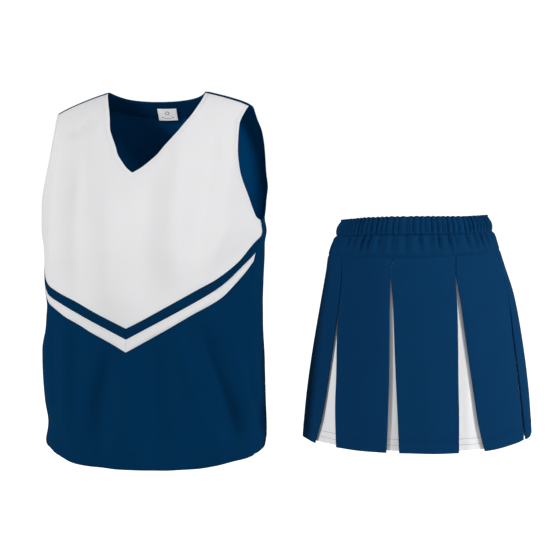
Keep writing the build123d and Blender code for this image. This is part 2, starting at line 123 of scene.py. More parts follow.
# the two panel edges of each front gap, as (fraction of the way down, angle)
EDGES = {6: ([(0.0, 300.67), (0.035, 301.07), (0.135, 302.55), (0.363, 303.01), (0.576, 302.24), (0.837, 300.06), (1.0, 295.46)],
             [(0.0, 300.67), (0.035, 301.03), (0.135, 302.87), (0.31, 303.37), (0.458, 305.37), (0.614, 307.71), (0.789, 309.38), (1.0, 312.13)]),
         7: ([(0.0, 342.16), (0.103, 340.56), (0.248, 339.8), (0.461, 340.47), (0.633, 341.0), (0.805, 341.18), (1.0, 341.09)],
             [(0.0, 342.16), (0.103, 340.56), (0.239, 341.4), (0.435, 342.78), (0.631, 344.29), (0.803, 345.67), (1.0, 346.96)]),
         0: ([(0.0, 24.23), (0.051, 22.63), (0.11, 21.16), (0.245, 19.09), (0.439, 17.55), (0.634, 16.55), (0.806, 16.35), (1.0, 16.08)],
             [(0.0, 24.23), (0.051, 22.63), (0.111, 21.36), (0.298, 21.49), (0.511, 22.89), (0.682, 24.56), (0.855, 26.63), (1.0, 29.77)]),
         1: ([(0.0, 66.88), (0.109, 65.88), (0.223, 63.8), (0.491, 60.19), (0.782, 60.62), (1.0, 62.27)],
             [(0.0, 66.88), (0.109, 65.88), (0.223, 63.95), (0.491, 60.4), (0.782, 60.9), (1.0, 62.7)])}
INSET_DEPTH = 4.0


# ------------------------------------------------------------------ curves
def curve(points, v):
    """Smooth interpolation through (position, value) points, for an array."""
    p = np.array(points, float)
    x, y = p[:, 0], p[:, 1]
    m = np.empty(len(x))
    m[1:-1] = (y[2:] - y[:-2]) / (x[2:] - x[:-2])
    m[0] = (y[1] - y[0]) / (x[1] - x[0])
    m[-1] = (y[-1] - y[-2]) / (x[-1] - x[-2])
    v = np.clip(np.asarray(v, float), x[0], x[-1])
    k = np.clip(np.searchsorted(x, v, side="right") - 1, 0, len(x) - 2)
    h = x[k + 1] - x[k]
    t = (v - x[k]) / h
    return ((2 * t ** 3 - 3 * t ** 2 + 1) * y[k] + (t ** 3 - 2 * t ** 2 + t) * h * m[k]
            + (-2 * t ** 3 + 3 * t ** 2) * y[k + 1] + (t ** 3 - t ** 2) * h * m[k + 1])


def smooth(t):
    t = np.clip(t, 0.0, 1.0)
    return t * t * (3 - 2 * t)


def path(points, step=1.0):
    """Smooth line through points, sampled densely."""
    p = np.array(points, float)
    run = np.concatenate([[0], np.cumsum(np.linalg.norm(np.diff(p, axis=0), axis=1))])
    n = max(2, int(round(run[-1] / step)) + 1)
    v = np.linspace(0, run[-1], n)
    return np.stack([curve(np.stack([run, p[:, i]], 1), v) for i in (0, 1)], 1)


def resample(p, step):
    """The same line with even spacing, ends kept."""
    p = np.asarray(p, float)
    run = np.concatenate([[0], np.cumsum(np.linalg.norm(np.diff(p, axis=0), axis=1))])
    n = max(1, int(round(run[-1] / step)))
    v = np.linspace(0, run[-1], n + 1)
    return np.stack([np.interp(v, run, p[:, i]) for i in range(p.shape[1])], 1)


_f = np.linspace(0, math.pi / 2, 4001)
_s, _c = np.sin(_f) ** (2 / SE_FRONT), np.abs(np.cos(_f)) ** (2 / SE_FRONT)
_run = np.concatenate([[0], np.cumsum(np.hypot(169.0 * np.diff(_s), 113.0 * np.diff(_c)))])
QG = float(_run[-1])                      # a quarter of the girth

_h = np.concatenate([np.linspace(0, 1, 400) ** 2.2 * 240, np.linspace(240, 640, 200)[1:]])
_d = 100 * (1 - np.clip(1 - _h / SLOPE_FRONT, 0, 1) ** ROUND) ** (1 / ROUND)
_w = np.concatenate([[0], np.cumsum(np.hypot(np.diff(_h), np.diff(_d)))])


def side_fraction(a):
    """Sideways factor of the section at distance a round the cloth."""
    return np.interp(np.clip(np.abs(a), 0, QG), _run, _s)


def ridge(a):
    return curve(SHOULDER, 169.0 * side_fraction(fold_back(a)[0]))


def fold_back(a):
    """Distances past the side seam line continue on the other face: (distance on its own face, wrapped)."""
    a = np.asarray(a, float)
    wrapped = np.abs(a) > QG
    return np.where(wrapped, np.sign(a) * (2 * QG - np.abs(a)), a), wrapped


def down(a, z):
    """Distance down the cloth from the shoulder line."""
    return np.interp(ridge(a) - np.asarray(z, float), _h, _w)


def height(a, w):
    return ridge(a) - np.interp(w, _w, _h)


def around(x, z):
    """Distance round the cloth of a point at sideways position x."""
    s = np.clip(np.abs(x) / curve(HALF_WIDTH, z), 0, 1)
    return np.sign(x) * np.interp(s, _s, _run)


def shell_base(a, w, side):
    own, wrapped = fold_back(a)
    face = np.where(wrapped, -side, side)
    s = side_fraction(own)
    c_front = np.interp(np.clip(np.abs(own), 0, QG), _run, _c)
    c_back = np.clip(1 - s ** SE_BACK, 0, 1) ** (1 / SE_BACK)
    h = np.interp(w, _w, _h)
    z = ridge(a) - h

    def chest(slope):
        u = np.clip(1 - h / slope, 0, 1)
        return np.clip(1 - u ** ROUND, 0, 1) ** (1 / ROUND)
    y = np.where(face < 0, -curve(FRONT_DEPTH, z) * c_front * chest(SLOPE_FRONT),
                 curve(BACK_DEPTH, z) * c_back * chest(SLOPE_BACK))
    return np.stack([np.sign(own) * curve(HALF_WIDTH, z) * s, y, z], -1)


def shell_normal(a, w, side):
    e = 1.0
    du = shell_base(a + e, w, side) - shell_base(a - e, w, side)
    dv = shell_base(a, w + e, side) - shell_base(a, np.maximum(w - e, 0), side)
    n = np.cross(du, dv)
    n /= np.linalg.norm(n, axis=-1, keepdims=True) + 1e-12
    p = shell_base(a, w, side)
    out = p - np.stack([np.zeros(len(p)), np.zeros(len(p)), p[:, 2] - 45], -1)
    return n * np.where((n * out).sum(-1) < 0, -1, 1)[:, None]


# Folds: (start, end, half width, height); positions are (distance round the shell from the centre front, z)
FOLDS = [
    # yoke: soft hanging bands
    ((-87, -100), (-71, -300), 17, -4.8), ((-28, -140), (-14, -318), 30, 4.8), ((36, -125), (40, -290), 22, -4.2),
    ((72, -60), (82, -270), 19, 3.6), ((121, -60), (104, -235), 15, -3.6), ((150, -90), (138, -225), 15, 2.4),
    ((-128, -80), (-124, -270), 19, 3.4),
    ((78, -30), (120, -66), 11, -2.0), ((-68, -34), (-106, -66), 11, -3.4), ((-84, -56), (-128, -86), 13, 2.2),
    ((176, -165), (118, -250), 12, 1.8), ((196, -186), (132, -262), 11, -1.7),
    # waist and hem
    ((112, -326), (178, -508), 13, -8.7), ((86, -350), (138, -520), 17, 6.4), ((140, -318), (204, -490), 14, 5.9),
    ((49, -356), (48, -520), 19, -6.4), ((-20, -366), (-40, -500), 18, -5.6), ((8, -376), (8, -510), 14, 4.5),
    ((-96, -328), (-100, -500), 15, 5.0), ((-72, -345), (-78, -480), 13, -2.2), ((-50, -338), (-60, -450), 15, 2.5),
    ((-134, -335), (-130, -470), 14, -3.4), ((196, -400), (232, -505), 12, -3.4), ((82, -450), (78, -535), 13, 2.2),
    # right side, by the armhole and the hem
    ((236, -205), (262, -300), 12, 1.6), ((222, -196), (214, -226), 7, 1.8), ((243, -196), (252, -226), 6, -1.8),
    ((214, -440), (248, -440), 16, 2.0), ((216, -478), (250, -478), 12, -1.8), ((214, -508), (252, -508), 14, 2.6),
    # left side
    ((-215, -200), (-205, -300), 14, 1.2), ((-236, -200), (-250, -330), 13, -1.8), ((-222, -420), (-214, -520), 16, -2.4),
    # back
    ((330, -120), (318, -330), 22, 3.6), ((372, -90), (366, -300), 18, -3.0), ((-332, -110), (-322, -320), 22, 3.4),
    ((-376, -90), (-380, -330), 18, -3.4), ((456, -150), (452, -420), 26, 2.4), ((420, -380), (408, -530), 16, -4.0),
    ((-410, -400), (-398, -530), 17, 4.0), ((300, -350), (286, -520), 18, -4.4), ((268, -360), (262, -525), 15, 3.4),
    ((-300, -340), (-284, -520), 17, -4.4), ((-262, -300), (-256, -500), 14, 3.0), ((352, -360), (346, -528), 16, 4.0),
    ((-352, -380), (-346, -528), 16, -3.2), ((-446, -380), (-440, -528), 15, -2.6),
    ((258, -130), (330, -196), 14, 3.2), ((-258, -130), (-330, -196), 14, 3.2), ((250, -180), (320, -240), 11, -2.4),
    ((-250, -180), (-320, -240), 11, -2.4),
]


def turned(a, side):
    """Distance round the whole shell from the centre front."""
    if side < 0:
        return a
    return np.where(a >= 0, 2 * QG - a, -2 * QG - a)


def relief(a, z, side):
    u = turned(a, side)
    out = np.zeros(len(u))
    for (u0, z0), (u1, z1), half, amp in FOLDS:
        du = (u - u0 + 2 * QG) % (4 * QG) - 2 * QG
        dz = z - z0
        lu, lz = u1 - u0, z1 - z0
        n = math.hypot(lu, lz)
        s = (du * lu + dz * lz) / (n * n)
        d = (du * lz - dz * lu) / n
        grow = 0.75 + 0.5 * np.clip(s, 0, 1)
        out += amp * np.exp(-(d / (half * grow)) ** 2) * smooth((s + 0.15) / 0.4) * smooth((1.18 - s) / 0.4)
    low = smooth((-330 - z) / 190)
    th = u / (4 * QG) * 2 * math.pi
    out += low * (0.9 * np.sin(9 * th + 0.8) + 0.7 * np.sin(14 * th + 2.1) + 0.4 * np.sin(23 * th + z / 60))
    out += 0.35 * np.sin(7 * th + z / 47) * np.sin(z / 71 + 1.3)

    def near(centre, half):
        du = (u - centre + 2 * QG) % (4 * QG) - 2 * QG
        return np.exp(-(du / half) ** 2)
    out += near(228, 60) * (-2.4 * np.exp(-((z + 370) / 60) ** 2) + 2.6 * np.exp(-((z + 505) / 34) ** 2)
                            - 4.0 * np.exp(-((z + 285) / 38) ** 2) + 3.6 * np.exp(-((z + 203) / 13) ** 2))
    out += near(-170, 60) * (-4.6 * smooth((-400 - z) / 110) + 1.8 * np.exp(-((z + 522) / 9) ** 2)
                             - 1.4 * smooth((-165 - z) / 40) * smooth((z + 390) / 60)
                             - 2.2 * np.exp(-((z + 315) / 15) ** 2) - 3.0 * np.exp(-((z + 492) / 20) ** 2))
    out += near(-188, 26) * -7.0 * smooth((-200 - z) / 50) * smooth((z + 385) / 50)
    out += near(262, 40) * (6.0 * np.exp(-((z + 120) / 60) ** 2) + 4.0 * np.exp(-((z + 62) / 34) ** 2))
    # small puckers along the hem seam
    out += 0.28 * np.sin(u * 0.62 + 1.9 * np.sin(u * 0.11)) * np.exp(-((z + 512) / 12) ** 2)
    # keep the shoulder line as it is
    return out * smooth((ridge(a) - z) / 30)


def to_world(p):
    c, s = math.cos(YAW), math.sin(YAW)
    return np.stack([p[:, 0] * c + p[:, 1] * s, -p[:, 0] * s + p[:, 1] * c, p[:, 2]], -1) / 1000.0


def hang(p):
    """The shoulders lean a little to one side as the shell hangs."""
    q = p.copy()
    q[:, 0] += 5.5 * smooth((p[:, 2] + 52) / 46)
    t = p[:, 0] / 150
    q[:, 2] += (np.where(t < 0, 6.5, 5.0) * t * np.abs(t) + 0.1) * smooth((p[:, 2] + 80) / 60)
    return q


def both_faces(dom, side):
    """Distances down past the shoulder line run on over the other face."""
    over = dom[:, 1] > 0
    return dom[:, 0], np.abs(dom[:, 1]), np.where(over, -side, side)


def shell_place(side, extra=0.0):
    """Places (distance round, distance down) points of one face, at a height over the outer surface."""
    def place(dom, out):
        a, w, face = both_faces(dom, side)
        z = height(a, w)
        q = np.empty((len(a), 3))
        for s in (-1, 1):
            m = face == s
            if m.any():
                q[m] = shell_base(a[m], w[m], s) + shell_normal(a[m], w[m], s) * (relief(a[m], z[m], s) + (out + extra)[m])[:, None]
        return to_world(hang(q))
    return place


def shell_world_normal(side):
    def normal(dom):
        a, w, face = both_faces(dom, side)
        n = np.where((face == side)[:, None], shell_normal(a, w, side), shell_normal(a, w, -side))
        return to_world(n) * 1000.0
    return normal


# ------------------------------------------------------------------ meshes
def inside_of(pts, poly):
    x, y = pts[:, 0][:, None], pts[:, 1][:, None]
    x0, y0 = poly[:, 0][None], poly[:, 1][None]
    x1, y1 = np.roll(poly[:, 0], -1)[None], np.roll(poly[:, 1], -1)[None]
    out = np.zeros(len(pts), int)
    for i in range(0, len(pts), 2000):
        sl = slice(i, i + 2000)
        cross = (y0 > y[sl]) != (y1 > y[sl])
        xi = (x1 - x0) * (y[sl] - y0) / np.where(y1 == y0, 1e-9, y1 - y0) + x0
        out[sl] = (cross & (x[sl] < xi)).sum(1)
    return out % 2 == 1


def distance_to(pts, lines):
    """Distance of points to a set of segments [(start, end), ...] given as two arrays."""
    a, b = lines
    ab = b - a
    ll = (ab ** 2).sum(1) + 1e-12
    best = np.empty(len(pts))
    for i in range(0, len(pts), 1500):
        p = pts[i:i + 1500][:, None]
        t = np.clip(((p - a[None]) * ab[None]).sum(2) / ll[None], 0, 1)
        q = a[None] + ab[None] * t[..., None]
        best[i:i + 1500] = np.sqrt(((p - q) ** 2).sum(2)).min(1)
    return best


def new_object(name, verts, faces, uvs=None, sharp=48.0, mats=(), face_mats=None):
    mesh = bpy.data.meshes.new(name)
    mesh.from_pydata([tuple(map(float, v)) for v in verts], [], [tuple(map(int, f)) for f in faces])
    mesh.update()
    for m in mats:
        mesh.materials.append(m)
    if face_mats is not None:
        mesh.polygons.foreach_set("material_index", np.asarray(face_mats, np.int32))
    layer = mesh.uv_layers.new(name="cloth")
    index = np.empty(len(mesh.loops), np.int32)
    mesh.loops.foreach_get("vertex_index", index)
    if uvs is None:
        v = np.asarray(verts, float)
        uvs = np.stack([v[:, 0] + v[:, 1], v[:, 2]], 1)
    layer.data.foreach_set("uv", np.asarray(uvs, float)[index].ravel())
    mesh.shade_smooth()
    mesh.set_sharp_from_angle(angle=math.radians(sharp))
    mesh.validate()
    ob = bpy.data.objects.new(name, mesh)
    scene.collection.objects.link(ob)
    return ob


def cloth(name, sides, place, mat, thick=1.3, cell=4.2, drop=0.75, step=2.4, edge_round=0.3, puff=0.0):
    """A cloth piece cut to a closed outline (list of open lines, each starting where the last ended), with
    thickness, rounded edges and a seam hollow all round. Returns the object and its flat area in m2."""
    rim = []
    for line in sides:
        rim.extend(resample(line, step)[:-1])
    rim = np.array(rim)
    x, y = rim[:, 0], rim[:, 1]
    area = 0.5 * np.sum(x * np.roll(y, -1) - np.roll(x, -1) * y)
    if area < 0:
        rim = rim[::-1].copy()
        area = -area
    n_rim = len(rim)
    seg = (rim, np.roll(rim, -1, 0))
    tangent = np.roll(rim, -1, 0) - np.roll(rim, 1, 0)
    tangent /= np.linalg.norm(tangent, axis=1, keepdims=True) + 1e-12
    inward = np.stack([-tangent[:, 1], tangent[:, 0]], 1)
    pts = [rim]
    for depth in (0.8, 2.1):
        q = rim + inward * depth
        if depth > 1:
            q = q[::1]
        ok = inside_of(q, rim) & (distance_to(q, seg) > depth * 0.86)
        pts.append(q[ok])
    lo, hi = rim.min(0), rim.max(0)
    rows = []
    dy = cell * math.sqrt(3) / 2
    for j, yy in enumerate(np.arange(lo[1] + dy / 2, hi[1], dy)):
        xx = np.arange(lo[0] + (cell / 2 if j % 2 else 0), hi[0], cell)
        rows.append(np.stack([xx, np.full(len(xx), yy)], 1))
    grid = np.concatenate(rows)
    grid = grid[inside_of(grid, rim)]
    grid = grid[distance_to(grid, seg) > 2.1 + cell * 0.42]
    pts.append(grid)
    dom = np.concatenate(pts)
    edges = [(i, (i + 1) % n_rim) for i in range(n_rim)]
    out_v, _, out_f, _, _, _ = delaunay_2d_cdt([Vector((float(p[0]), float(p[1]))) for p in dom], edges, [], 1, 1e-5)
    dom = np.array([(v[0], v[1]) for v in out_v])
    tri = [tuple(f) for f in out_f if len(f) == 3]
    used = np.zeros(len(dom), bool)
    for f in tri:
        used[list(f)] = True
    remap = -np.ones(len(dom), int)
    remap[used] = np.arange(used.sum())
    dom = dom[used]
    tri = [tuple(remap[list(f)]) for f in tri]
    count = {}
    for f in tri:
        for i in range(3):
            e = (f[i], f[(i + 1) % 3])
            count[e] = 1
    rim_edges = [e for e in count if (e[1], e[0]) not in count]
    d = distance_to(dom, seg)
    n = len(dom)
    outer = place(dom, -drop * np.exp(-(d / 1.5) ** 2) + puff * np.exp(-((d - 5) / 4) ** 2))
    inner = place(dom, -thick + 0.2 * np.exp(-(d / 1.2) ** 2))
    # outward direction at rim vertices
    push = np.zeros((n, 2))
    for i, j in rim_edges:
        t = dom[j] - dom[i]
        o = np.array([t[1], -t[0]]) / (np.linalg.norm(t) + 1e-12)
        push[i] += o
        push[j] += o
    rim_ids = sorted({i for e in rim_edges for i in e})
    length = np.linalg.norm(push, axis=1, keepdims=True)
    push = np.where(length > 1e-9, push / np.maximum(length, 1e-9), 0)
    mid_dom = dom[rim_ids] + push[rim_ids] * edge_round
    mid = place(mid_dom, np.full(len(rim_ids), -(drop + thick - 0.2) / 2))
    mid_at = {v: 2 * n + k for k, v in enumerate(rim_ids)}
    verts = np.concatenate([outer, inner, mid])
    uv = np.concatenate([dom, dom, mid_dom]) / 1000.0
    # orientation: outer faces look away from the inner layer
    f0 = tri[len(tri) // 2]
    nrm = np.cross(outer[f0[1]] - outer[f0[0]], outer[f0[2]] - outer[f0[0]])
    flip = np.dot(nrm, outer[f0[0]] - inner[f0[0]]) < 0
    faces = []
    for f in tri:
        g = f[::-1] if flip else f
        faces.append(g)
        faces.append(tuple(v + n for v in g[::-1]))
    for i, j in rim_edges:
        q1 = (j, i, mid_at[i], mid_at[j])
        q2 = (mid_at[j], mid_at[i], i + n, j + n)
        if flip:
            q1, q2 = q1[::-1], q2[::-1]
        faces.append(q1)
        faces.append(q2)
    ob = new_object(name, verts, faces, uv, sharp=60, mats=[mat])
    under = ob.data.attributes.new("under", "FLOAT", "POINT")
    under.data.foreach_set("value", np.concatenate([np.zeros(n), np.ones(n), np.zeros(len(rim_ids))]))
    return ob, area / 1e6


def loft(name, rings, uvs, mat, close_ring=True, caps=True, sharp=50):
    """Joins rings of points (rows, points, 3); each ring is closed."""
    rows, n = rings.shape[:2]
    verts = rings.reshape(-1, 3)
    faces = []
    for i in range(rows - 1):
        for j in range(n if close_ring else n - 1):
            a, b = i * n + j, i * n + (j + 1) % n
            faces.append((a, b, b + n, a + n))
    return verts, faces, uvs.reshape(-1, 2)


def thread(points, normals, pitch=3.0, fill=0.72, radius=0.26, lift=0.12, zigzag=0.0, sides=5):
    """Short raised stitches along a line (points in m, sizes in mm). Returns vertices and faces."""
    run = np.concatenate([[0], np.cumsum(np.linalg.norm(np.diff(points, axis=0), axis=1))]) * 1000
    count = int(run[-1] / pitch)
    verts, faces = [], []
    if count < 1:
        return np.zeros((0, 3)), []

    def at(s):
        s = min(max(s, 0.0), run[-1])
        p = np.array([np.interp(s, run, points[:, k]) for k in range(3)])
        m = np.array([np.interp(s, run, normals[:, k]) for k in range(3)])
        return p, m / (np.linalg.norm(m) + 1e-12)
    for k in range(count):
        s0 = (k + 0.5 - fill / 2) * run[-1] / count
        s1 = (k + 0.5 + fill / 2) * run[-1] / count
        p0, n0 = at(s0)
        p1, n1 = at(s1)
        t = p1 - p0
        b0 = np.cross(n0, t)
        b0 /= np.linalg.norm(b0) + 1e-12
        if zigzag:
            sgn = 1 if k % 2 else -1
            p0 = p0 - b0 * sgn * zigzag / 1000
            p1 = p1 + b0 * sgn * zigzag / 1000
            t = p1 - p0
            b0 = np.cross(n0, t)
            b0 /= np.linalg.norm(b0) + 1e-12
        base = len(verts)
        for f, r, up in ((0.0, 0.45, -0.25), (0.18, 1.0, 0.0), (0.82, 1.0, 0.0), (1.0, 0.45, -0.25)):
            c = p0 + t * f + (n0 * (1 - f) + n1 * f) * (lift + up * radius * 2) / 1000
            for q in range(sides):
                w = 2 * math.pi * q / sides
                verts.append(c + (b0 * math.cos(w) + n0 * math.sin(w)) * radius * r / 1000)
        for i in range(3):
            for q in range(sides):
                a, b = base + i * sides + q, base + i * sides + (q + 1) % sides
                faces.append((a, b, b + sides, a + sides))
        faces.append(tuple(base + q for q in range(sides))[::-1])
        faces.append(tuple(base + 3 * sides + q for q in range(sides)))
    return np.array(verts), faces


def joined(parts):
    verts, faces, k = [], [], 0
    for v, f in parts:
        if len(v):
            verts.append(v)
            faces.extend(tuple(i + k for i in g) for g in f)
            k += len(v)
    return np.concatenate(verts), faces


# ------------------------------------------------------------------ materials
def srgb(*c):
    return tuple(((v / 255) / 12.92 if v / 255 <= 0.04045 else ((v / 255 + 0.055) / 1.055) ** 2.4) for v in c) + (1.0,)


def knit(name, light, dark, wale=1.25, course=1.0, bump=0.3, rough=0.82, specular=0.12, sheen=0.15, tint=(1, 1, 1, 1),
         mottle=0.06, slant=0.0, painted_inside_light=0.0):
    """Knitted cloth: ribs of loops from two crossed waves, fibre noise, uneven dye and a soft sheen."""
    mat = bpy.data.materials.new(name)
    mat.use_nodes = True
    nt = mat.node_tree
    nt.nodes.clear()
    out = nt.nodes.new("ShaderNodeOutputMaterial")
    bsdf = nt.nodes.new("ShaderNodeBsdfPrincipled")
    uv = nt.nodes.new("ShaderNodeUVMap")
    uv.uv_map = "cloth"
    mapping = nt.nodes.new("ShaderNodeMapping")
    mapping.inputs["Rotation"].default_value = (0, 0, slant)
    nt.links.new(uv.outputs["UV"], mapping.inputs["Vector"])

    def wave(direction, period, distortion):
        w = nt.nodes.new("ShaderNodeTexWave")
        w.wave_type, w.bands_direction, w.wave_profile = "BANDS", direction, "SIN"
        w.inputs["Scale"].default_value = 2 * math.pi / (20 * period / 1000)
        w.inputs["Distortion"].default_value = distortion
        w.inputs["Detail"].default_value = 1.0
        w.inputs["Detail Scale"].default_value = 1.5
        nt.links.new(mapping.outputs["Vector"], w.inputs["Vector"])
        return w
    ribs, rows = wave("X", wale, 0.6), wave("Y", course, 1.2)
    height_ = nt.nodes.new("ShaderNodeMath")
    height_.operation = "MULTIPLY_ADD"
    nt.links.new(rows.outputs["Fac"], height_.inputs[0])
    height_.inputs[1].default_value = 0.45
    nt.links.new(ribs.outputs["Fac"], height_.inputs[2])
    fuzz = nt.nodes.new("ShaderNodeTexNoise")
    fuzz.inputs["Scale"].default_value = 2600.0
    fuzz.inputs["Detail"].default_value = 3.0
    nt.links.new(mapping.outputs["Vector"], fuzz.inputs["Vector"])
    total = nt.nodes.new("ShaderNodeMath")
    total.operation = "MULTIPLY_ADD"
    nt.links.new(fuzz.outputs["Fac"], total.inputs[0])
    total.inputs[1].default_value = 0.5
    nt.links.new(height_.outputs[0], total.inputs[2])
    bmp = nt.nodes.new("ShaderNodeBump")
    bmp.inputs["Strength"].default_value = bump
    bmp.inputs["Distance"].default_value = 0.00025
    nt.links.new(total.outputs[0], bmp.inputs["Height"])
    # colour: the grooves between the ribs are darkened with painted shade, and the dye is uneven over a few
    # centimetres
    patch = nt.nodes.new("ShaderNodeTexNoise")
    patch.inputs["Scale"].default_value = 21.0
    patch.inputs["Detail"].default_value = 4.0
    nt.links.new(mapping.outputs["Vector"], patch.inputs["Vector"])
    groove_painted_shade = nt.nodes.new("ShaderNodeMapRange")
    groove_painted_shade.inputs["From Min"].default_value, groove_painted_shade.inputs["From Max"].default_value = 0.0, 1.45
    groove_painted_shade.inputs["To Min"].default_value, groove_painted_shade.inputs["To Max"].default_value = 0.35, 1.0
    nt.links.new(height_.outputs[0], groove_painted_shade.inputs["Value"])
    uneven = nt.nodes.new("ShaderNodeMapRange")
    uneven.inputs["From Min"].default_value, uneven.inputs["From Max"].default_value = 0.3, 0.7
    uneven.inputs["To Min"].default_value, uneven.inputs["To Max"].default_value = 1.0 - mottle * 2, 1.0
    nt.links.new(patch.outputs["Fac"], uneven.inputs["Value"])
    both = nt.nodes.new("ShaderNodeMath")
    both.operation = "MULTIPLY"
    nt.links.new(groove_painted_shade.outputs["Result"], both.inputs[0])
    nt.links.new(uneven.outputs["Result"], both.inputs[1])
    mix = nt.nodes.new("ShaderNodeMix")
    mix.data_type = "RGBA"
    mix.inputs[6].default_value = dark
    mix.inputs[7].default_value = light
    nt.links.new(both.outputs[0], mix.inputs[0])
    # painted light: the inner face is painted paler to lift the shade that falls inside the shell
    under = nt.nodes.new("ShaderNodeAttribute")
    under.attribute_name = "under"
    painted_inside_gain = nt.nodes.new("ShaderNodeMath")
    painted_inside_gain.operation = "MULTIPLY_ADD"
    nt.links.new(under.outputs["Fac"], painted_inside_gain.inputs[0])
    painted_inside_gain.inputs[1].default_value, painted_inside_gain.inputs[2].default_value = painted_inside_light, 1.0
    painted_inside_lift = nt.nodes.new("ShaderNodeVectorMath")
    painted_inside_lift.operation = "SCALE"
    nt.links.new(mix.outputs[2], painted_inside_lift.inputs[0])
    nt.links.new(painted_inside_gain.outputs[0], painted_inside_lift.inputs["Scale"])
    nt.links.new(painted_inside_lift.outputs[0], bsdf.inputs["Base Color"])
    nt.links.new(bmp.outputs["Normal"], bsdf.inputs["Normal"])
    bsdf.inputs["Roughness"].default_value = rough
    bsdf.inputs["Specular IOR Level"].default_value = specular
    bsdf.inputs["Sheen Weight"].default_value = sheen
    bsdf.inputs["Sheen Roughness"].default_value = 0.45
    bsdf.inputs["Sheen Tint"].default_value = tint
    nt.links.new(bsdf.outputs["BSDF"], out.inputs["Surface"])
    return mat


def plain(name, colour, rough=0.6, specular=0.2, scale=900.0, amount=0.12, bump=0.2, sheen=0.0):
    """Thread, tape or rubber: one colour broken up by fine fibre noise."""
    mat = bpy.data.materials.new(name)
    mat.use_nodes = True
    nt = mat.node_tree
    bsdf = nt.nodes["Principled BSDF"]
    co = nt.nodes.new("ShaderNodeTexCoord")
    noise = nt.nodes.new("ShaderNodeTexNoise")
    noise.inputs["Scale"].default_value = scale
    noise.inputs["Detail"].default_value = 3.0
    nt.links.new(co.outputs["Object"], noise.inputs["Vector"])
    ramp = nt.nodes.new("ShaderNodeMix")
    ramp.data_type = "RGBA"
    ramp.inputs[6].default_value = tuple(v * (1 - amount * 2) for v in colour[:3]) + (1,)
    ramp.inputs[7].default_value = colour
    nt.links.new(noise.outputs["Fac"], ramp.inputs[0])
    nt.links.new(ramp.outputs[2], bsdf.inputs["Base Color"])
    bmp = nt.nodes.new("ShaderNodeBump")
    bmp.inputs["Strength"].default_value = bump
    bmp.inputs["Distance"].default_value = 0.0002
    nt.links.new(noise.outputs["Fac"], bmp.inputs["Height"])
    nt.links.new(bmp.outputs["Normal"], bsdf.inputs["Normal"])
    bsdf.inputs["Roughness"].default_value = rough
    bsdf.inputs["Specular IOR Level"].default_value = specular
    bsdf.inputs["Sheen Weight"].default_value = sheen
    return mat


NAVY_TINT = (0.0, 0.30, 0.75, 1)
white_knit = knit("white_knit", srgb(230, 230, 231), srgb(210, 210, 212), mottle=0.05, sheen=0.1)
white_braid = knit("white_braid", srgb(233, 233, 234), srgb(206, 206, 209), wale=1.0, course=1.0, bump=0.5, slant=0.5)
# the navy inner faces carry strong painted light against the shade inside the shell; the facing, which is lit, only a
# little
navy_knit = knit("navy_knit", srgb(0, 49, 86), srgb(0, 35, 64), specular=0.02, sheen=0.05, tint=NAVY_TINT, mottle=0.06, painted_inside_light=1.15)
navy_facing = knit("navy_facing", srgb(0, 49, 86), srgb(0, 35, 64), specular=0.02, sheen=0.05, tint=NAVY_TINT, mottle=0.06, painted_inside_light=0.2)
navy_braid = knit("navy_braid", srgb(0, 48, 84), srgb(0, 33, 60), wale=1.0, course=1.0, bump=0.5, specular=0.02,
                  sheen=0.05, tint=NAVY_TINT, slant=0.5)
pleat_navy = knit("pleat_navy", srgb(8, 56, 96), srgb(3, 40, 73), specular=0.03, sheen=0.08, tint=NAVY_TINT, mottle=0.06)
# painted light: this white is set paler than the shell's white to offset the shade in the recessed insets
pleat_white = knit("pleat_white", srgb(240, 240, 241), srgb(220, 220, 223), mottle=0.04, sheen=0.1)
# painted shade: the inset hem stitches are real, but their grey-blue colour stands for the shadow along the stitched
# seams
hem_thread_painted_shade = plain("hem_thread_painted_shade", srgb(120, 124, 134), rough=0.6, specular=0.1)
navy_thread = plain("navy_thread", srgb(2, 50, 86), rough=0.6, specular=0.08)
white_thread = plain("white_thread", srgb(226, 227, 231), rough=0.5, specular=0.2)
elastic_rubber = plain("elastic_rubber", srgb(222, 220, 214), rough=0.7, amount=0.08, scale=500)
seam_tape = knit("seam_tape", srgb(16, 48, 78), srgb(8, 30, 52), wale=0.8, course=2.0, bump=0.6, specular=0.08, sheen=0.1, tint=NAVY_TINT, slant=0.78)
label_satin = plain("label_satin", srgb(253, 253, 252), rough=0.38, specular=0.35, amount=0.03, scale=1200)
# painted light: the satin label gets a small glow of its own (emission 0.22) so it reads white in the shade; it is no
# lamp
label_satin.node_tree.nodes["Principled BSDF"].inputs["Emission Color"].default_value = (1, 1, 1, 1)
label_satin.node_tree.nodes["Principled BSDF"].inputs["Emission Strength"].default_value = 0.22
label_ink = plain("label_ink", srgb(70, 86, 110), rough=0.6, specular=0.1, amount=0.1)

# ------------------------------------------------------------------ shell outlines
FULL = 2 * QG


def neck_line(points, shift, side):
    """Neckline across the garment, left to right, in (distance round, distance down)."""
    half = path(points, 0.6)
    both = np.concatenate([np.stack([-half[::-1, 0], half[::-1, 1]], 1), half[1:]])
    x = both[:, 0] + curve(shift, both[:, 1])
    a = around(x, both[:, 1])
    keep = both[:, 1] < ridge(a)
    first, last = np.argmax(keep), len(keep) - 1 - np.argmax(keep[::-1])
    line = np.stack([a[first:last + 1], -down(a[first:last + 1], both[first:last + 1, 1])], 1)
    line[0, 1] = line[-1, 1] = 0.0
    return line


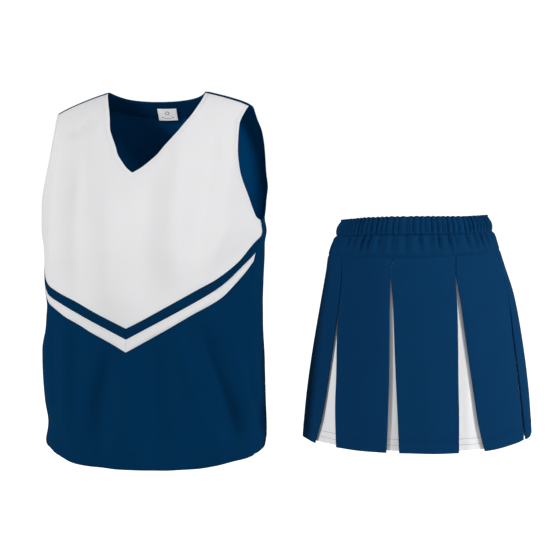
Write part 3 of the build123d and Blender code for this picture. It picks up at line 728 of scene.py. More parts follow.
def arm_line(points, hand):
    """Armhole edge from the shoulder line down to the side, in (distance round, distance down)."""
    p = path(points, 0.6)
    keep = p[:, 1] >= ARM_LOW
    x, z = p[keep, 0], p[keep, 1]
    a = around(x, z)
    below = z < ridge(a)
    first = np.argmax(below)
    a, z = a[first:], z[first:]
    stop = np.argmax(a >= QG - 0.15) if (a >= QG - 0.15).any() else len(a) - 1
    a, z = a[:stop + 1], z[:stop + 1]
    a[-1] = QG
    line = np.stack([hand * a, -down(a, z)], 1)
    line[0, 1] = 0.0
    return line


def seam_path(points, hand=0):
    """Smooth seam given as (distance round, height) points, as (distance round, distance down)."""
    p = path(points, 1.0)
    return np.stack([p[:, 0], -down(p[:, 0], p[:, 1])], 1)


def side_at(z, hand):
    return hand * curve(SIDE_RIGHT if hand > 0 else SIDE_LEFT, z)


def trim(line, hand):
    """The part of a front seam line between the centre and the side seam, ending exactly on the side seam."""
    z = height(line[:, 0], -line[:, 1])
    gap = np.abs(line[:, 0]) - np.abs(side_at(z, hand))
    keep = gap < 0
    if hand > 0:
        k = int(np.argmin(keep)) if not keep.all() else len(keep)
        part = line[:k]
        z_end = z[min(k, len(z) - 1)]
        end = np.array([[side_at(z_end, hand), -float(down(np.array([side_at(z_end, hand)]), np.array([z_end]))[0])]])
        return np.concatenate([part, end])
    k = len(keep) - int(np.argmin(keep[::-1])) if not keep.all() else 0
    part = line[k:]
    z_end = z[max(k - 1, 0)]
    end = np.array([[side_at(z_end, hand), -float(down(np.array([side_at(z_end, hand)]), np.array([z_end]))[0])]])
    return np.concatenate([end, part])


def side_line(z0, z1, hand):
    """Side seam of the front between two heights."""
    z = np.linspace(z0, z1, max(3, int(abs(z1 - z0) / 1.5)))
    a = side_at(z, hand)
    return np.stack([a, -down(a, z)], 1)


def z_of(p):
    return float(height(np.array([p[0]]), np.array([-p[1]]))[0])


neck_f = neck_line(NECK_FRONT, NECK_SHIFT_FRONT, -1)
neck_b = neck_line(NECK_BACK, NECK_SHIFT_BACK, 1)
arm_f = {h: arm_line(ARM_FRONT, h) for h in (1, -1)}
arm_b = {1: arm_line(ARM_BACK_RIGHT, 1), -1: arm_line(ARM_BACK, -1)}


# the shoulder seams lie a little in front of the shoulder line, so the back panel runs over it
FORWARD = 5.6


def cut_at(line, w):
    """Index of the first point at least w down the cloth."""
    return int(np.argmax(-line[:, 1] >= w))


def over_line(line, n):
    """The first n points of a front edge, as seen from the back panel, from the seam up to the shoulder line."""
    stub = line[:n][::-1]
    return np.stack([stub[:, 0], -stub[:, 1]], 1)


n0, n1 = cut_at(neck_f, FORWARD), cut_at(neck_f[::-1], FORWARD)
neck_b_long = np.concatenate([over_line(neck_f, n0), neck_b[1:-1], over_line(neck_f[::-1], n1)[::-1]])
neck_f = neck_f[n0 + 1:len(neck_f) - n1 - 1]
arm_b_long = {}
for h in (1, -1):
    n0 = cut_at(arm_f[h], FORWARD)
    arm_b_long[h] = np.concatenate([over_line(arm_f[h], n0), arm_b[h][1:]])
    arm_f[h] = arm_f[h][n0 + 1:]


def ridge_line(p, q):
    return p + (q - p) * np.linspace(0, 1, 60)[:, None]


Y = {h: trim(seam_path(YOKE_EDGE[(h + 1) // 2]), h) for h in (1, -1)}
T = {h: trim(seam_path(WHITE_TOP[(h + 1) // 2]), h) for h in (1, -1)}
B = {h: trim(seam_path(WHITE_LOW[(h + 1) // 2]), h) for h in (1, -1)}
GAP = 0.3


def shifted(line, dz):
    return np.stack([line[:, 0], line[:, 1] + dz], 1)


front = shell_place(-1)
back = shell_place(1)
pieces = {}
flat = {}

# Front yoke
z_y = {h: z_of(Y[h][-1] if h > 0 else Y[h][0]) for h in (1, -1)}
outline = [neck_f,
           ridge_line(neck_f[-1], arm_f[1][0]), arm_f[1],
           side_line(ARM_LOW - 0.2, z_y[1], 1), Y[1][::-1], Y[-1][::-1],
           side_line(z_y[-1], ARM_LOW - 0.2, -1), arm_f[-1][::-1],
           ridge_line(arm_f[-1][0], neck_f[0])]
pieces["front_yoke"], flat["front_yoke"] = cloth("front_yoke_cloth", outline, front, white_knit, cell=4.0, drop=0.55)

# Chevron strips
for colour, upper, lower, mat in (("navy", Y, T, navy_braid), ("white", T, B, white_braid)):
    for hand, word in ((1, "right"), (-1, "left")):
        up, lo = shifted(upper[hand], -GAP), shifted(lower[hand], GAP * 0.2)
        tip = 0.25 * hand
        if hand > 0:
            up, lo = up + [tip, 0], lo + [tip, 0]
            zu, zl = z_of(up[-1]), z_of(lo[-1])
            shape = [up, side_line(zu, zl, hand), lo[::-1], np.array([lo[0], up[0]])]
        else:
            up, lo = up + [tip, 0], lo + [tip, 0]
            zu, zl = z_of(up[0]), z_of(lo[0])
            shape = [up[::-1], side_line(zu, zl, hand), lo, np.array([lo[-1], up[-1]])]
        shape[1][0] = shape[0][-1]
        shape[1][-1] = shape[2][0]
        key = f"chevron_{colour}_{word}"
        pieces[key], flat[key] = cloth(key + "_cloth", shape, front, mat, cell=3.4, drop=0.5, puff=0.12)

# Front body
hem_pts = path(HEM_FRONT, 1.0)
hem_front = np.stack([hem_pts[:, 0], -down(hem_pts[:, 0], hem_pts[:, 1])], 1)
keep = (hem_front[:, 0] < side_at(np.array([-529.0]), 1)[0]) & (hem_front[:, 0] > side_at(np.array([-529.0]), -1)[0])
hem_front = hem_front[keep]
bl, br = shifted(B[-1], -GAP), shifted(B[1], -GAP)
right_side = side_line(z_of(br[-1]), z_of(hem_front[-1]), 1)
left_side = side_line(z_of(hem_front[0]), z_of(bl[0]), -1)
right_side[0], right_side[-1], left_side[0], left_side[-1] = br[-1], hem_front[-1], hem_front[0], bl[0]
pieces["front_body"], flat["front_body"] = cloth(
    "front_body_cloth", [bl, np.array([bl[-1], br[0]]), br, right_side, hem_front[::-1], left_side],
    front, navy_knit, cell=4.2, drop=0.6)

# Back panel: runs round both sides onto the front to meet the side seams
z_low = -528.2


def back_side(hand):
    z = np.linspace(ARM_LOW - 0.2, z_low, 190)
    a = np.abs(side_at(z, hand))
    ab = hand * (FULL - a - 0.35)
    return np.stack([ab, -down(ab, z)], 1)


bs = {h: back_side(h) for h in (1, -1)}
a_hem = np.linspace(bs[1][-1, 0], bs[-1][-1, 0], 400)
z_hem = z_low + 1.6 * np.cos(np.clip(a_hem / QG, -1, 1) * math.pi / 2) ** 2
hem_back = np.stack([a_hem, -down(a_hem, z_hem)], 1)
hem_back[0], hem_back[-1] = bs[1][-1], bs[-1][-1]
outline = [neck_b_long, ridge_line(neck_b_long[-1], arm_b_long[1][0]), arm_b_long[1],
           np.concatenate([arm_b[1][-1:], bs[1]]), hem_back, bs[-1][::-1],
           np.concatenate([bs[-1][:1], arm_b[-1][-1:]]), arm_b_long[-1][::-1],
           ridge_line(arm_b_long[-1][0], neck_b_long[0])]
pieces["back_panel"], flat["back_panel"] = cloth("back_panel_cloth", outline, back, navy_knit, cell=4.3, drop=0.6)

# Neck facings, inside, their lower edges overcast
def offset_line(line, width):
    t = np.gradient(line, axis=0)
    t /= np.linalg.norm(t, axis=1, keepdims=True) + 1e-12
    return line + np.stack([t[:, 1], -t[:, 0]], 1) * width


def facing(line, width):
    a = resample(line, 2.0)
    inner = offset_line(a, 0.9)
    outer = offset_line(a, width)
    # a sharp V makes the offset line cross itself; keep the points that are really that far away
    seg = (a[:-1], a[1:])
    far = distance_to(outer, seg) > width * 0.985
    outer = outer[far]
    inner, outer = inner.copy(), outer.copy()
    for q in (inner, outer):
        q[:, 1] = np.minimum(q[:, 1], -1.0)
    return inner, outer


edge_lines = {}
for key, line, side, mat in (("neck_facing_front", neck_f, -1, navy_facing), ("neck_facing_back", neck_b, 1, navy_facing)):
    inner, outer = facing(line, 26.0)
    shape = [inner, np.array([inner[-1], outer[-1]]), outer[::-1], np.array([outer[0], inner[0]])]
    pieces[key], flat[key] = cloth(key + "_cloth", shape, shell_place(side, -3.0), mat, thick=0.9, cell=4.0, drop=0.2, edge_round=0.2)
    edge_lines[key] = (outer, side)


# ------------------------------------------------------------------ stitching on the shell
def stitched(line, side, out=0.05, **kw):
    dom = resample(line, 1.5)
    pts = shell_place(side)(dom, np.full(len(dom), out))
    return thread(pts, shell_world_normal(side)(dom), **kw)


def inset_line(line, width):
    q = offset_line(resample(line, 2.0), width)
    seg = (line[:-1], line[1:])
    ok = (distance_to(q, seg) > abs(width) * 0.97) & (q[:, 1] < -1.0)
    return q[ok]


def above_hem(line, up):
    return np.stack([line[:, 0], line[:, 1] + up], 1)


navy_lines = [
    stitched(inset_line(neck_b, 5.5), 1),
    stitched(inset_line(arm_b[1], 5.5), 1), stitched(inset_line(arm_b[-1], -5.5), 1),
    stitched(above_hem(hem_front[2:-2], 19.0), -1), stitched(above_hem(hem_front[2:-2], 15.5), -1),
    stitched(above_hem(hem_back[2:-2], 19.0), 1), stitched(above_hem(hem_back[2:-2], 15.5), 1),
    stitched(shifted(br[2:-4], -2.2), -1), stitched(shifted(bl[4:-2], -2.2), -1),
    stitched(shifted(Y[1][4:-4], -2.4), -1), stitched(shifted(Y[-1][4:-4], -2.4), -1),
    stitched(shifted(T[1][4:-4], 2.4), -1), stitched(shifted(T[-1][4:-4], 2.4), -1),
]
white_lines = [
    stitched(inset_line(neck_f, 5.5), -1),
    stitched(inset_line(arm_f[1], 5.5), -1), stitched(inset_line(arm_f[-1], -5.5), -1),
    stitched(shifted(T[1][4:-4], -2.4), -1), stitched(shifted(T[-1][4:-4], -2.4), -1),
    stitched(shifted(B[1][4:-4], 2.4), -1), stitched(shifted(B[-1][4:-4], 2.4), -1),
]
v, f = joined(navy_lines)
shell_navy_stitches = new_object("shell_stitching_navy", v, f, mats=[navy_thread])
v, f = joined(white_lines)
shell_white_stitches = new_object("shell_stitching_white", v, f, mats=[white_thread])

over = []
for outer, side in edge_lines.values():
    dom = resample(outer, 2.0)
    dom = dom[dom[:, 1] < -2.0]
    place, nrm = shell_place(side), shell_world_normal(side)
    pts = place(dom, np.full(len(dom), -4.0))
    over.append(thread(pts, -nrm(dom), pitch=1.6, fill=1.0, radius=0.2, lift=0.1, zigzag=1.3))
v, f = joined(over)
overcasting = new_object("facing_overcasting", v, f, mats=[navy_thread])

# Shoulder tapes, bent over under the seams
for key, hand in (("shoulder_tape_right", 1), ("shoulder_tape_left", -1)):
    xs, ws = np.linspace(86, 146, 31), np.linspace(-6, 6, 9)
    rows = []
    for x in xs:
        side_f = x / 169.0
        row = []
        for wv in ws:
            n_, depth, slope = (SE_FRONT, 100.0, SLOPE_FRONT) if wv < 0 else (SE_BACK, 103.0, SLOPE_BACK)
            c = (1 - side_f ** n_) ** (1 / n_)
            fall = slope * (1 - (1 - (abs(wv) / (depth * c)) ** ROUND) ** (1 / ROUND))
            row.append((hand * x, wv, float(curve(SHOULDER, np.array([x]))[0]) - fall - 1.6 - 1.5))
        rows.append(row)
    top = np.array(rows)
    low = top - [0, 0, 0.6]
    n_w = len(ws)
    ring = np.concatenate([top, low[:, ::-1]], 1)
    world = to_world(hang(ring.reshape(-1, 3))).reshape(ring.shape)
    uv = np.stack(np.meshgrid(np.arange(ring.shape[1]) * 0.0015, xs / 1000), -1)
    verts, faces, uvs = loft(key, world, uv, seam_tape)
    m = ring.shape[1]
    faces += [tuple(range(m))[::-1], tuple(range((len(xs) - 1) * m, len(xs) * m))]
    pieces[key] = new_object(key + "_cloth", verts, faces, uvs, mats=[seam_tape])
    flat[key] = 0.060 * 0.012

# Label, sewn inside the back neck, with a plain generic mark
zl = np.array([-28.5, -20.5])
al = np.array([10.0, 10.0])
mid2 = shell_base(al, down(al, zl), 1)
direction = mid2[1] - mid2[0]
direction[0] = 0
up = direction / np.linalg.norm(direction)
into = np.array([0.0, -up[2], up[1]])
origin = np.array([11.0, mid2[0][1] + 0.35, -28.5]) + into * 6.2
side_dir = np.array([1.0, 0, 0])


def on_label(x, y, out):
    x, y, out = np.broadcast_arrays(np.asarray(x, float), np.asarray(y, float), np.asarray(out, float))
    x, y, out = x.ravel(), y.ravel(), out.ravel()
    bow = -0.5 * (x / 15) ** 2 + 0.25 * np.sin(y / 5)
    p = origin + x[:, None] * side_dir + y[:, None] * up + (out + bow)[:, None] * into
    return to_world(hang(p))


gx, gy = np.meshgrid(np.linspace(-15, 15, 31), np.linspace(-11, 11, 23))
top = on_label(gx, gy, 0.6)
bottom = on_label(gx, gy, 0.0)
nx, ny = gx.shape[1], gx.shape[0]
faces = []
for j in range(ny - 1):
    for i in range(nx - 1):
        a = j * nx + i
        faces.append((a, a + 1, a + nx + 1, a + nx))
        b = a + nx * ny
        faces.append((b, b + nx, b + nx + 1, b + 1))
rim = [i for i in range(nx)] + [j * nx + nx - 1 for j in range(1, ny)] + \
      [(ny - 1) * nx + i for i in range(nx - 2, -1, -1)] + [j * nx for j in range(ny - 2, 0, -1)]
for k in range(len(rim)):
    a, b = rim[k], rim[(k + 1) % len(rim)]
    faces.append((b, a, a + nx * ny, b + nx * ny))
pieces["neck_label"] = new_object("neck_label_cloth", np.concatenate([top, bottom]), faces,
                                  np.concatenate([np.stack([gx.ravel(), gy.ravel()], 1)] * 2) / 1000, mats=[label_satin])
flat["neck_label"] = 0.030 * 0.022


def plate(cells):
    """Thin raised marks on the label, each a closed outline of (x, y)."""
    verts, faces = [], []
    for ring in cells:
        ring = np.array(ring, float)
        k = len(verts)
        m = len(ring)
        verts.extend(on_label(ring[:, 0], ring[:, 1], 0.72))
        verts.extend(on_label(ring[:, 0], ring[:, 1], 0.55))
        faces.append(tuple(range(k, k + m)))
        faces.append(tuple(range(k + m, k + 2 * m))[::-1])
        for i in range(m):
            j = (i + 1) % m
            faces.append((k + j, k + i, k + m + i, k + m + j))
    return np.array(verts), faces


marks = []
for i in range(18):
    t0, t1 = 2 * math.pi * i / 18, 2 * math.pi * (i + 1) / 18
    marks.append([(3.4 * math.cos(t0), 3 + 3.4 * math.sin(t0)), (3.4 * math.cos(t1), 3 + 3.4 * math.sin(t1)),
                  (2.5 * math.cos(t1), 3 + 2.5 * math.sin(t1)), (2.5 * math.cos(t0), 3 + 2.5 * math.sin(t0))][::-1])
marks.append([(-9.5, -4.4), (9.5, -4.4), (9.5, -5.6), (-9.5, -5.6)][::-1])
marks.append([(-5.5, -7.0), (5.5, -7.0), (5.5, -7.7), (-5.5, -7.7)][::-1])
v, f = plate(marks)
label_mark = new_object("neck_label_mark", v, f, mats=[label_ink])
corner = np.array([(-13.6, 9.6), (13.6, 9.6), (13.6, -9.6), (-13.6, -9.6), (-13.6, 9.6)])
ring = resample(corner, 1.0)
lab_pts = on_label(ring[:, 0], ring[:, 1], 0.62)
lab_n = np.repeat(to_world(into[None]) * 1000, len(lab_pts), 0)
v, f = thread(lab_pts, lab_n, pitch=2.2, radius=0.16, lift=0.08)
label_stitches = new_object("neck_label_stitching", v, f, mats=[white_thread])


# ------------------------------------------------------------------ skirt
def skirt_lift(x, z):
    """The waist sits higher at one end as the skirt hangs, mm upwards."""
    t = (x - SKIRT_X) / 128
    seam = 1.5 + 9.5 * np.clip(t, 0, 1.2) ** 1.6
    top = np.interp(t * 128 / 113, [-1, -0.7, -0.4, 0, 0.6, 1], [-3, 0.5, 1.5, 2, 2, 4.5])
    hem = -1.8 + 7.5 * np.clip((x - SKIRT_X - 85) / 85, 0, 1.1) ** 1.4
    up = np.clip((z - SEAM) / (SKIRT_TOP - SEAM), 0, 1.05)
    low = np.clip((SEAM - z) / (SEAM - HEM), 0, 1)
    return np.where(z > SEAM, seam + (top - seam) * up, seam + (hem - seam) * low)


def skirt_xyz(angle, z, depth=0.0):
    """Points of the skirt's surface, mm, at an ellipse angle in degrees and a depth under the surface."""
    f = np.radians(angle)
    a, b = curve(SKIRT_A, z), curve(SKIRT_B, z)
    nx, ny = np.sin(f) / a, -np.cos(f) / b
    n = np.hypot(nx, ny)
    nx, ny = nx / n, ny / n
    x = SKIRT_X + curve(SWAY, z) + a * np.sin(f)
    return np.stack([x - nx * depth, -b * np.cos(f) - ny * depth, z + skirt_lift(x, z)], -1)


def rate(angle, z):
    f = np.radians(angle)
    return np.hypot(curve(SKIRT_A, z) * np.cos(f), curve(SKIRT_B, z) * np.sin(f)) * math.pi / 180


def seam_height(angle, gap):
    return SEAM + SEAM_TILT * np.cos(np.radians(angle)) - gap


APEX = 0.125
GAP_POWER = {2: 1.1, 3: 1.1, 4: 1.1, 5: 1.1}      # gap after panel k


def gap_edges(k, f):
    """Ellipse angles of the two panel edges at the gap after panel k, at fraction f of the way down."""
    k = k % 8
    nxt = (k + 1) % 8
    if k in EDGES:
        e0, e1 = float(curve(EDGES[k][0], f)), float(curve(EDGES[k][1], f))
        return min(e0, (e0 + e1) / 2), max(e1, (e0 + e1) / 2)
    top = PANEL_TOP[k][1]
    h0, h1 = PANEL_HEM[k][1], PANEL_HEM[nxt][0] + (360 if nxt == 0 else 0)
    mid = top + ((h0 + h1) / 2 - top) * f
    half = (h1 - h0) / 2 * np.clip((f - APEX) / (1 - APEX), 0, 1) ** GAP_POWER[k]
    return mid - half, mid + half


def pleat_wave(angle, z, k):
    """Gentle rolls down a pleat panel, mm outwards."""
    low = smooth((SEAM - z) / 200)
    ph = 1.7 * k
    return low * (0.9 * np.sin(np.radians(angle) * 9 + ph) + 0.6 * np.sin(np.radians(angle) * 17 + 2 * ph + z / 90))


RETURN, R_FOLD, HALF_T = 13.0, 0.75, 0.42
panel_objects, inset_objects, thread_objects = {}, {}, {}
ROWS = 64
for k, pname in enumerate(PANELS):
    fr = np.linspace(0, 1, ROWS)
    rings, uvs = [], []
    for f in fr:
        left = gap_edges(k - 1, f)[1] - (360 if k == 0 else 0)
        right = gap_edges(k, f)[0]
        mid = (left + right) / 2
        z_top = seam_height(mid, 0.15)
        z = z_top + (HEM - z_top) * f
        r0 = float(rate(mid, z))
        width = float(rate(left, z) + rate(right, z) + 4 * rate(mid, z)) / 6 * (right - left)
        # the cloth's midline: return, fold, face, fold, return, as (distance across, depth)
        ret = RETURN * min(1.0, 0.35 + f * 1.2)
        lo_x, hi_x = 0.2 + HALF_T, width - 0.2 - HALF_T
        back_d = HALF_T + 0.05 + 2 * R_FOLD
        line = [(lo_x + R_FOLD + ret, back_d + 0.15), (lo_x + R_FOLD + ret * 0.5, back_d + 0.05), (lo_x + R_FOLD, back_d)]
        for q in (120, 90, 60, 30):
            w = math.radians(q)
            line.append((lo_x + R_FOLD - R_FOLD * math.sin(w), HALF_T + 0.05 + R_FOLD - R_FOLD * math.cos(w)))
        n_face = 26
        for i in range(n_face):
            line.append((lo_x + R_FOLD + (width - 2 * (lo_x + R_FOLD)) * i / (n_face - 1), HALF_T + 0.05))
        for q in (30, 60, 90, 120):
            w = math.radians(q)
            line.append((hi_x - R_FOLD + R_FOLD * math.sin(w), HALF_T + 0.05 + R_FOLD - R_FOLD * math.cos(w)))
        line += [(hi_x - R_FOLD, back_d), (hi_x - R_FOLD - ret * 0.5, back_d + 0.05), (hi_x - R_FOLD - ret, back_d + 0.15)]
        line = np.array(line)
        t = np.gradient(line, axis=0)
        t /= np.linalg.norm(t, axis=1, keepdims=True)
        nrm = np.stack([t[:, 1], -t[:, 0]], 1)            # towards smaller depth on the face
        thin = HALF_T * (1.0 if 0 < f < 1 else 0.55)
        outer, inner = line + nrm * thin, line - nrm * thin
        ring = np.concatenate([outer, inner[::-1]])
        ang = left + (right - left) * ring[:, 0] / width
        seam_dip = 0.7 * math.exp(-((z_top - z) / 2.0) ** 2)
        d = ring[:, 1] + seam_dip
        zz = np.full(len(ang), z)
        zz = zz + (seam_height(ang, 0.15) - z_top) * (1 - f)
        wave = pleat_wave(ang, zz, k)
        rings.append(skirt_xyz(ang, zz, d - wave))
        run = np.concatenate([[0], np.cumsum(np.linalg.norm(np.diff(line, axis=0), axis=1))])
        uvs.append(np.stack([np.concatenate([run, run[::-1]]), zz], 1) / 1000.0)
    rings, uvs = np.array(rings) / 1000.0, np.array(uvs)
    verts, faces, uv = loft(pname, rings, uvs, pleat_navy)
    m = rings.shape[1]
    half = m // 2
    for row, rev in ((0, True), (ROWS - 1, False)):
        for i in range(half - 1):
            a, b = row * m + i, row * m + i + 1
            c, d_ = row * m + m - 2 - i, row * m + m - 1 - i
            q = (a, b, c, d_)
            faces.append(q if rev else q[::-1])
    faces = [g[::-1] for g in faces]
    ob = new_object(f"pleat_{pname}_cloth", verts, faces, uv, sharp=50, mats=[pleat_navy])
    panel_objects[f"pleat_{pname}"] = ob
    # twin hem stitches on the face
    parts = []
    for up_mm in (20.0, 16.0):
        f = 1 - up_mm / 271.0
        left = gap_edges(k - 1, f)[1] - (360 if k == 0 else 0)
        right = gap_edges(k, f)[0]
        ang = np.linspace(left + 1.0, right - 1.0, 60)
        zz = np.full(60, HEM + up_mm)
        pts = skirt_xyz(ang, zz, 0.0 - pleat_wave(ang, zz, k))
        nn = skirt_xyz(ang, zz, -1.0) - skirt_xyz(ang, zz, 0.0)
        parts.append(thread(pts / 1000, nn))
    v, fc = joined(parts)
    thread_objects[f"pleat_{pname}"] = new_object(f"pleat_{pname}_stitching", v, fc, mats=[navy_thread])


def inset_mid(k):
    k, nxt = k % 8, (k + 1) % 8
    return (PANEL_HEM[k][1] + PANEL_HEM[nxt][0] + (360 if nxt == 0 else 0)) / 2


for k, pname in enumerate(PANELS):
    nxt = (k + 1) % 8
    name = f"inset_{pname}_to_{PANELS[nxt]}"
    top_mid = PANEL_TOP[k][1]
    hem_mid = inset_mid(k)
    before = inset_mid(k - 1) - (360 if k == 0 else 0)
    after = inset_mid(nxt) + (360 if nxt == 0 else 0)
    half_deg = 54.0 / float(rate(hem_mid, HEM))
    reach0 = min(half_deg, (hem_mid - before) / 2 - 0.9)
    reach1 = min(half_deg, (after - hem_mid) / 2 - 0.9)
    hem_z = HEM + 2.5
    n_a, n_r = 41, 60
    outer_g, inner_g, uv_g = [], [], []
    for j in range(n_r):
        f = j / (n_r - 1)
        i = np.linspace(0, 1, n_a)
        top_ang = top_mid + (2 * i - 1) * 29.0 / float(rate(top_mid, SEAM))
        hem_ang = hem_mid - reach0 + (reach0 + reach1) * i
        ang = top_ang + (hem_ang - top_ang) * f
        z_top = seam_height(top_ang, 7.0)
        zz = z_top + (hem_z - z_top) * f
        mid_f = np.exp(-((ang - (top_mid + (hem_mid - top_mid) * f)) / 7.0) ** 2)
        roll = -0.7 * mid_f * smooth(f * 1.3)              # the godet sinks a little in its middle
        roll += 0.35 * np.sin(ang * 0.9 + k) * f
        t_edge = 0.85 if 0 < j < n_r - 1 else 0.5
        outer_g.append(skirt_xyz(ang, zz, INSET_DEPTH + 0.45 - roll))
        inner_g.append(skirt_xyz(ang, zz, INSET_DEPTH + 0.45 + t_edge - roll))
        uv_g.append(np.stack([ang * float(rate(hem_mid, -400.0)), zz], 1) / 1000)
    rings = np.concatenate([np.array(outer_g), np.array(inner_g)[:, ::-1]], 1) / 1000
    uvs = np.concatenate([np.array(uv_g), np.array(uv_g)[:, ::-1]], 1)
    verts, faces, uv = loft(name, rings, uvs, pleat_white)
    m = rings.shape[1]
    half = m // 2
    for row, rev in ((0, True), (n_r - 1, False)):
        for i in range(half - 1):
            a, b = row * m + i, row * m + i + 1
            c, d_ = row * m + m - 2 - i, row * m + m - 1 - i
            q = (a, b, c, d_)
            faces.append(q if rev else q[::-1])
    faces = [g[::-1] for g in faces]
    ob = new_object(name + "_cloth", verts, faces, uv, sharp=50, mats=[pleat_white])
    inset_objects[name] = ob
    parts = []
    for up_mm in (16.5, 8.0):
        f = 1 - up_mm / 269.0
        top_ang = top_mid + np.linspace(-1, 1, 70) * 29.0 / float(rate(top_mid, SEAM))
        hem_ang = hem_mid - reach0 + (reach0 + reach1) * np.linspace(0, 1, 70)
        ang = (top_ang + (hem_ang - top_ang) * f)[2:-2]
        zz = np.full(len(ang), hem_z + up_mm)
        mid_f = np.exp(-((ang - (top_mid + (hem_mid - top_mid) * f)) / 7.0) ** 2)
        roll = -0.7 * mid_f + 0.35 * np.sin(ang * 0.9 + k) * f
        pts = skirt_xyz(ang, zz, INSET_DEPTH + 0.4 - roll)
        nn = skirt_xyz(ang, zz, -1.0) - skirt_xyz(ang, zz, 0.0)
        parts.append(thread(pts / 1000, nn))
    v, fc = joined(parts)
    # these stitches carry the grey-blue painted-shade thread colour
    thread_objects[name] = new_object(name + "_stitching", v, fc, mats=[hem_thread_painted_shade])


# ---- waistband: gathered casing, gathered yoke
def gathers(count, seed, amount):
    """Irregular ruffle round the waist, -1..1, as a function of angle in degrees."""
    r = np.random.default_rng(seed)
    knots = np.cumsum(1 + amount * (r.random(count) - 0.5) * 2)
    knots = knots / knots[-1] * 360
    levels = np.where(np.arange(count) % 2 == 0, 1.0, -1.0) * (1 + 0.5 * (r.random(count) - 0.5))

    def value(angle):
        a = np.asarray(angle, float) % 360
        x = np.concatenate([[knots[-1] - 360], knots, [knots[0] + 360]])
        y = np.concatenate([[levels[-1]], levels, [levels[0]]])
        k = np.clip(np.searchsorted(x, a, side="right") - 1, 0, len(x) - 2)
        t = (a - x[k]) / (x[k + 1] - x[k])
        s = 0.5 - 0.5 * np.cos(math.pi * t)
        return y[k] + (y[k + 1] - y[k]) * s
    return value


fine = gathers(160, 3, 0.42)       # about 8 mm from ruffle to ruffle
wide = gathers(98, 11, 0.45)       # about 13.5 mm
N_A = 1440
angles = np.arange(N_A) / N_A * 360


def band_ring(z, out, ruffle, tilt, lift=0.0):
    """One ring round the waist at level z; out is the distance outwards from the surface."""
    f = np.radians(angles)
    a, b = float(curve(SKIRT_A, z)), float(curve(SKIRT_B, z))
    nx, ny = np.sin(f) / a, -np.cos(f) / b
    n = np.hypot(nx, ny)
    nx, ny = nx / n, ny / n
    o = out + ruffle
    x = SKIRT_X + float(curve(SWAY, z)) + a * np.sin(f)
    level = z + tilt * np.cos(f)
    return np.stack([x + nx * o, -b * np.cos(f) + ny * o, level + skirt_lift(x, level) + lift], -1)


def band_object(name, profile, mat):
    """profile: list of (z, out, ruffle array, lift array); a closed loop of rings."""
    rings = []
    for z, out, ruf, lift in profile:
        tilt = (CASING_TILT + (TOP_TILT - CASING_TILT) * (z - CASING_LOW) / (SKIRT_TOP - CASING_LOW) if z > CASING_LOW
                else SEAM_TILT + (CASING_TILT - SEAM_TILT) * (z - SEAM) / (CASING_LOW - SEAM))
        rings.append(band_ring(z, out, ruf, tilt, lift))
    rings = np.array(rings) / 1000.0
    m = len(rings)
    verts = rings.reshape(-1, 3)
    faces = []
    for i in range(m):
        i2 = (i + 1) % m
        for j in range(N_A):
            j2 = (j + 1) % N_A
            faces.append((i * N_A + j, i * N_A + j2, i2 * N_A + j2, i2 * N_A + j))
    run = np.concatenate([[0], np.cumsum([np.linalg.norm(rings[i + 1, 0] - rings[i, 0]) for i in range(m - 1)])])
    uv = np.stack(np.meshgrid(angles / 360 * 0.75, run), -1).reshape(-1, 2)
    # outward orientation
    p = verts[list(faces[0])]
    nrm = np.cross(p[1] - p[0], p[2] - p[0])
    c = p.mean(0) - np.array([SKIRT_X / 1000, 0, p[0][2]])
    if nrm @ c < 0:
        faces = [g[::-1] for g in faces]
    return new_object(name, verts, faces, uv, sharp=70, mats=[mat])


rf, rw = fine(angles), wide(angles)
profile, under = [], []                             # the cloth's outside, and its other face 0.8 mm under it
H_C = SKIRT_TOP - CASING_LOW
for t in np.linspace(0, 1, 13):                     # outer wall, bottom to top
    z = CASING_LOW + 0.6 + (H_C - 2.6) * t
    grow = 0.35 + 0.65 * smooth(t / 0.28)
    wall = -0.9 + 1.7 * math.sin(math.pi * min(t * 0.9 + 0.08, 1.0)) ** 0.8 * 0.9 - 3.0 * float(smooth(np.array((t - 0.5) / 0.6)))
    profile.append((z, wall, rf * 1.35 * grow, 0 * rf))
    under.append((z, wall - 0.8, rf * 1.35 * grow, 0 * rf))
top_lift = 0.55 * rf
for z, out, ruf, lift, z2, out2 in ((-0.9, -2.8, 1.3, 0.7, -1.4, -3.4), (-0.1, -3.6, 1.2, 1.0, -0.9, -3.9),
                                    (0.0, -4.6, 1.1, 1.0, -0.8, -4.6), (-0.3, -5.6, 1.0, 1.0, -1.0, -5.4),
                                    (-1.6, -6.6, 0.8, 0.6, -1.9, -5.9)):
    profile.append((SKIRT_TOP + z, out, rf * ruf, top_lift * lift))
    under.append((SKIRT_TOP + z2, out2, rf * ruf, top_lift * lift))
for t in np.linspace(0, 1, 9):                      # inner wall, top to bottom
    z = SKIRT_TOP - 3.0 + (CASING_LOW + 0.6 - SKIRT_TOP + 3.0) * t
    back = -6.9 + 1.0 * t
    profile.append((z, back, rf * 0.45, 0 * rf))
    under.append((z, back + 0.8, rf * 0.45, 0 * rf))
profile += under[::-1]
pieces["waistband_casing"] = band_object("waistband_casing_cloth", profile, pleat_navy)

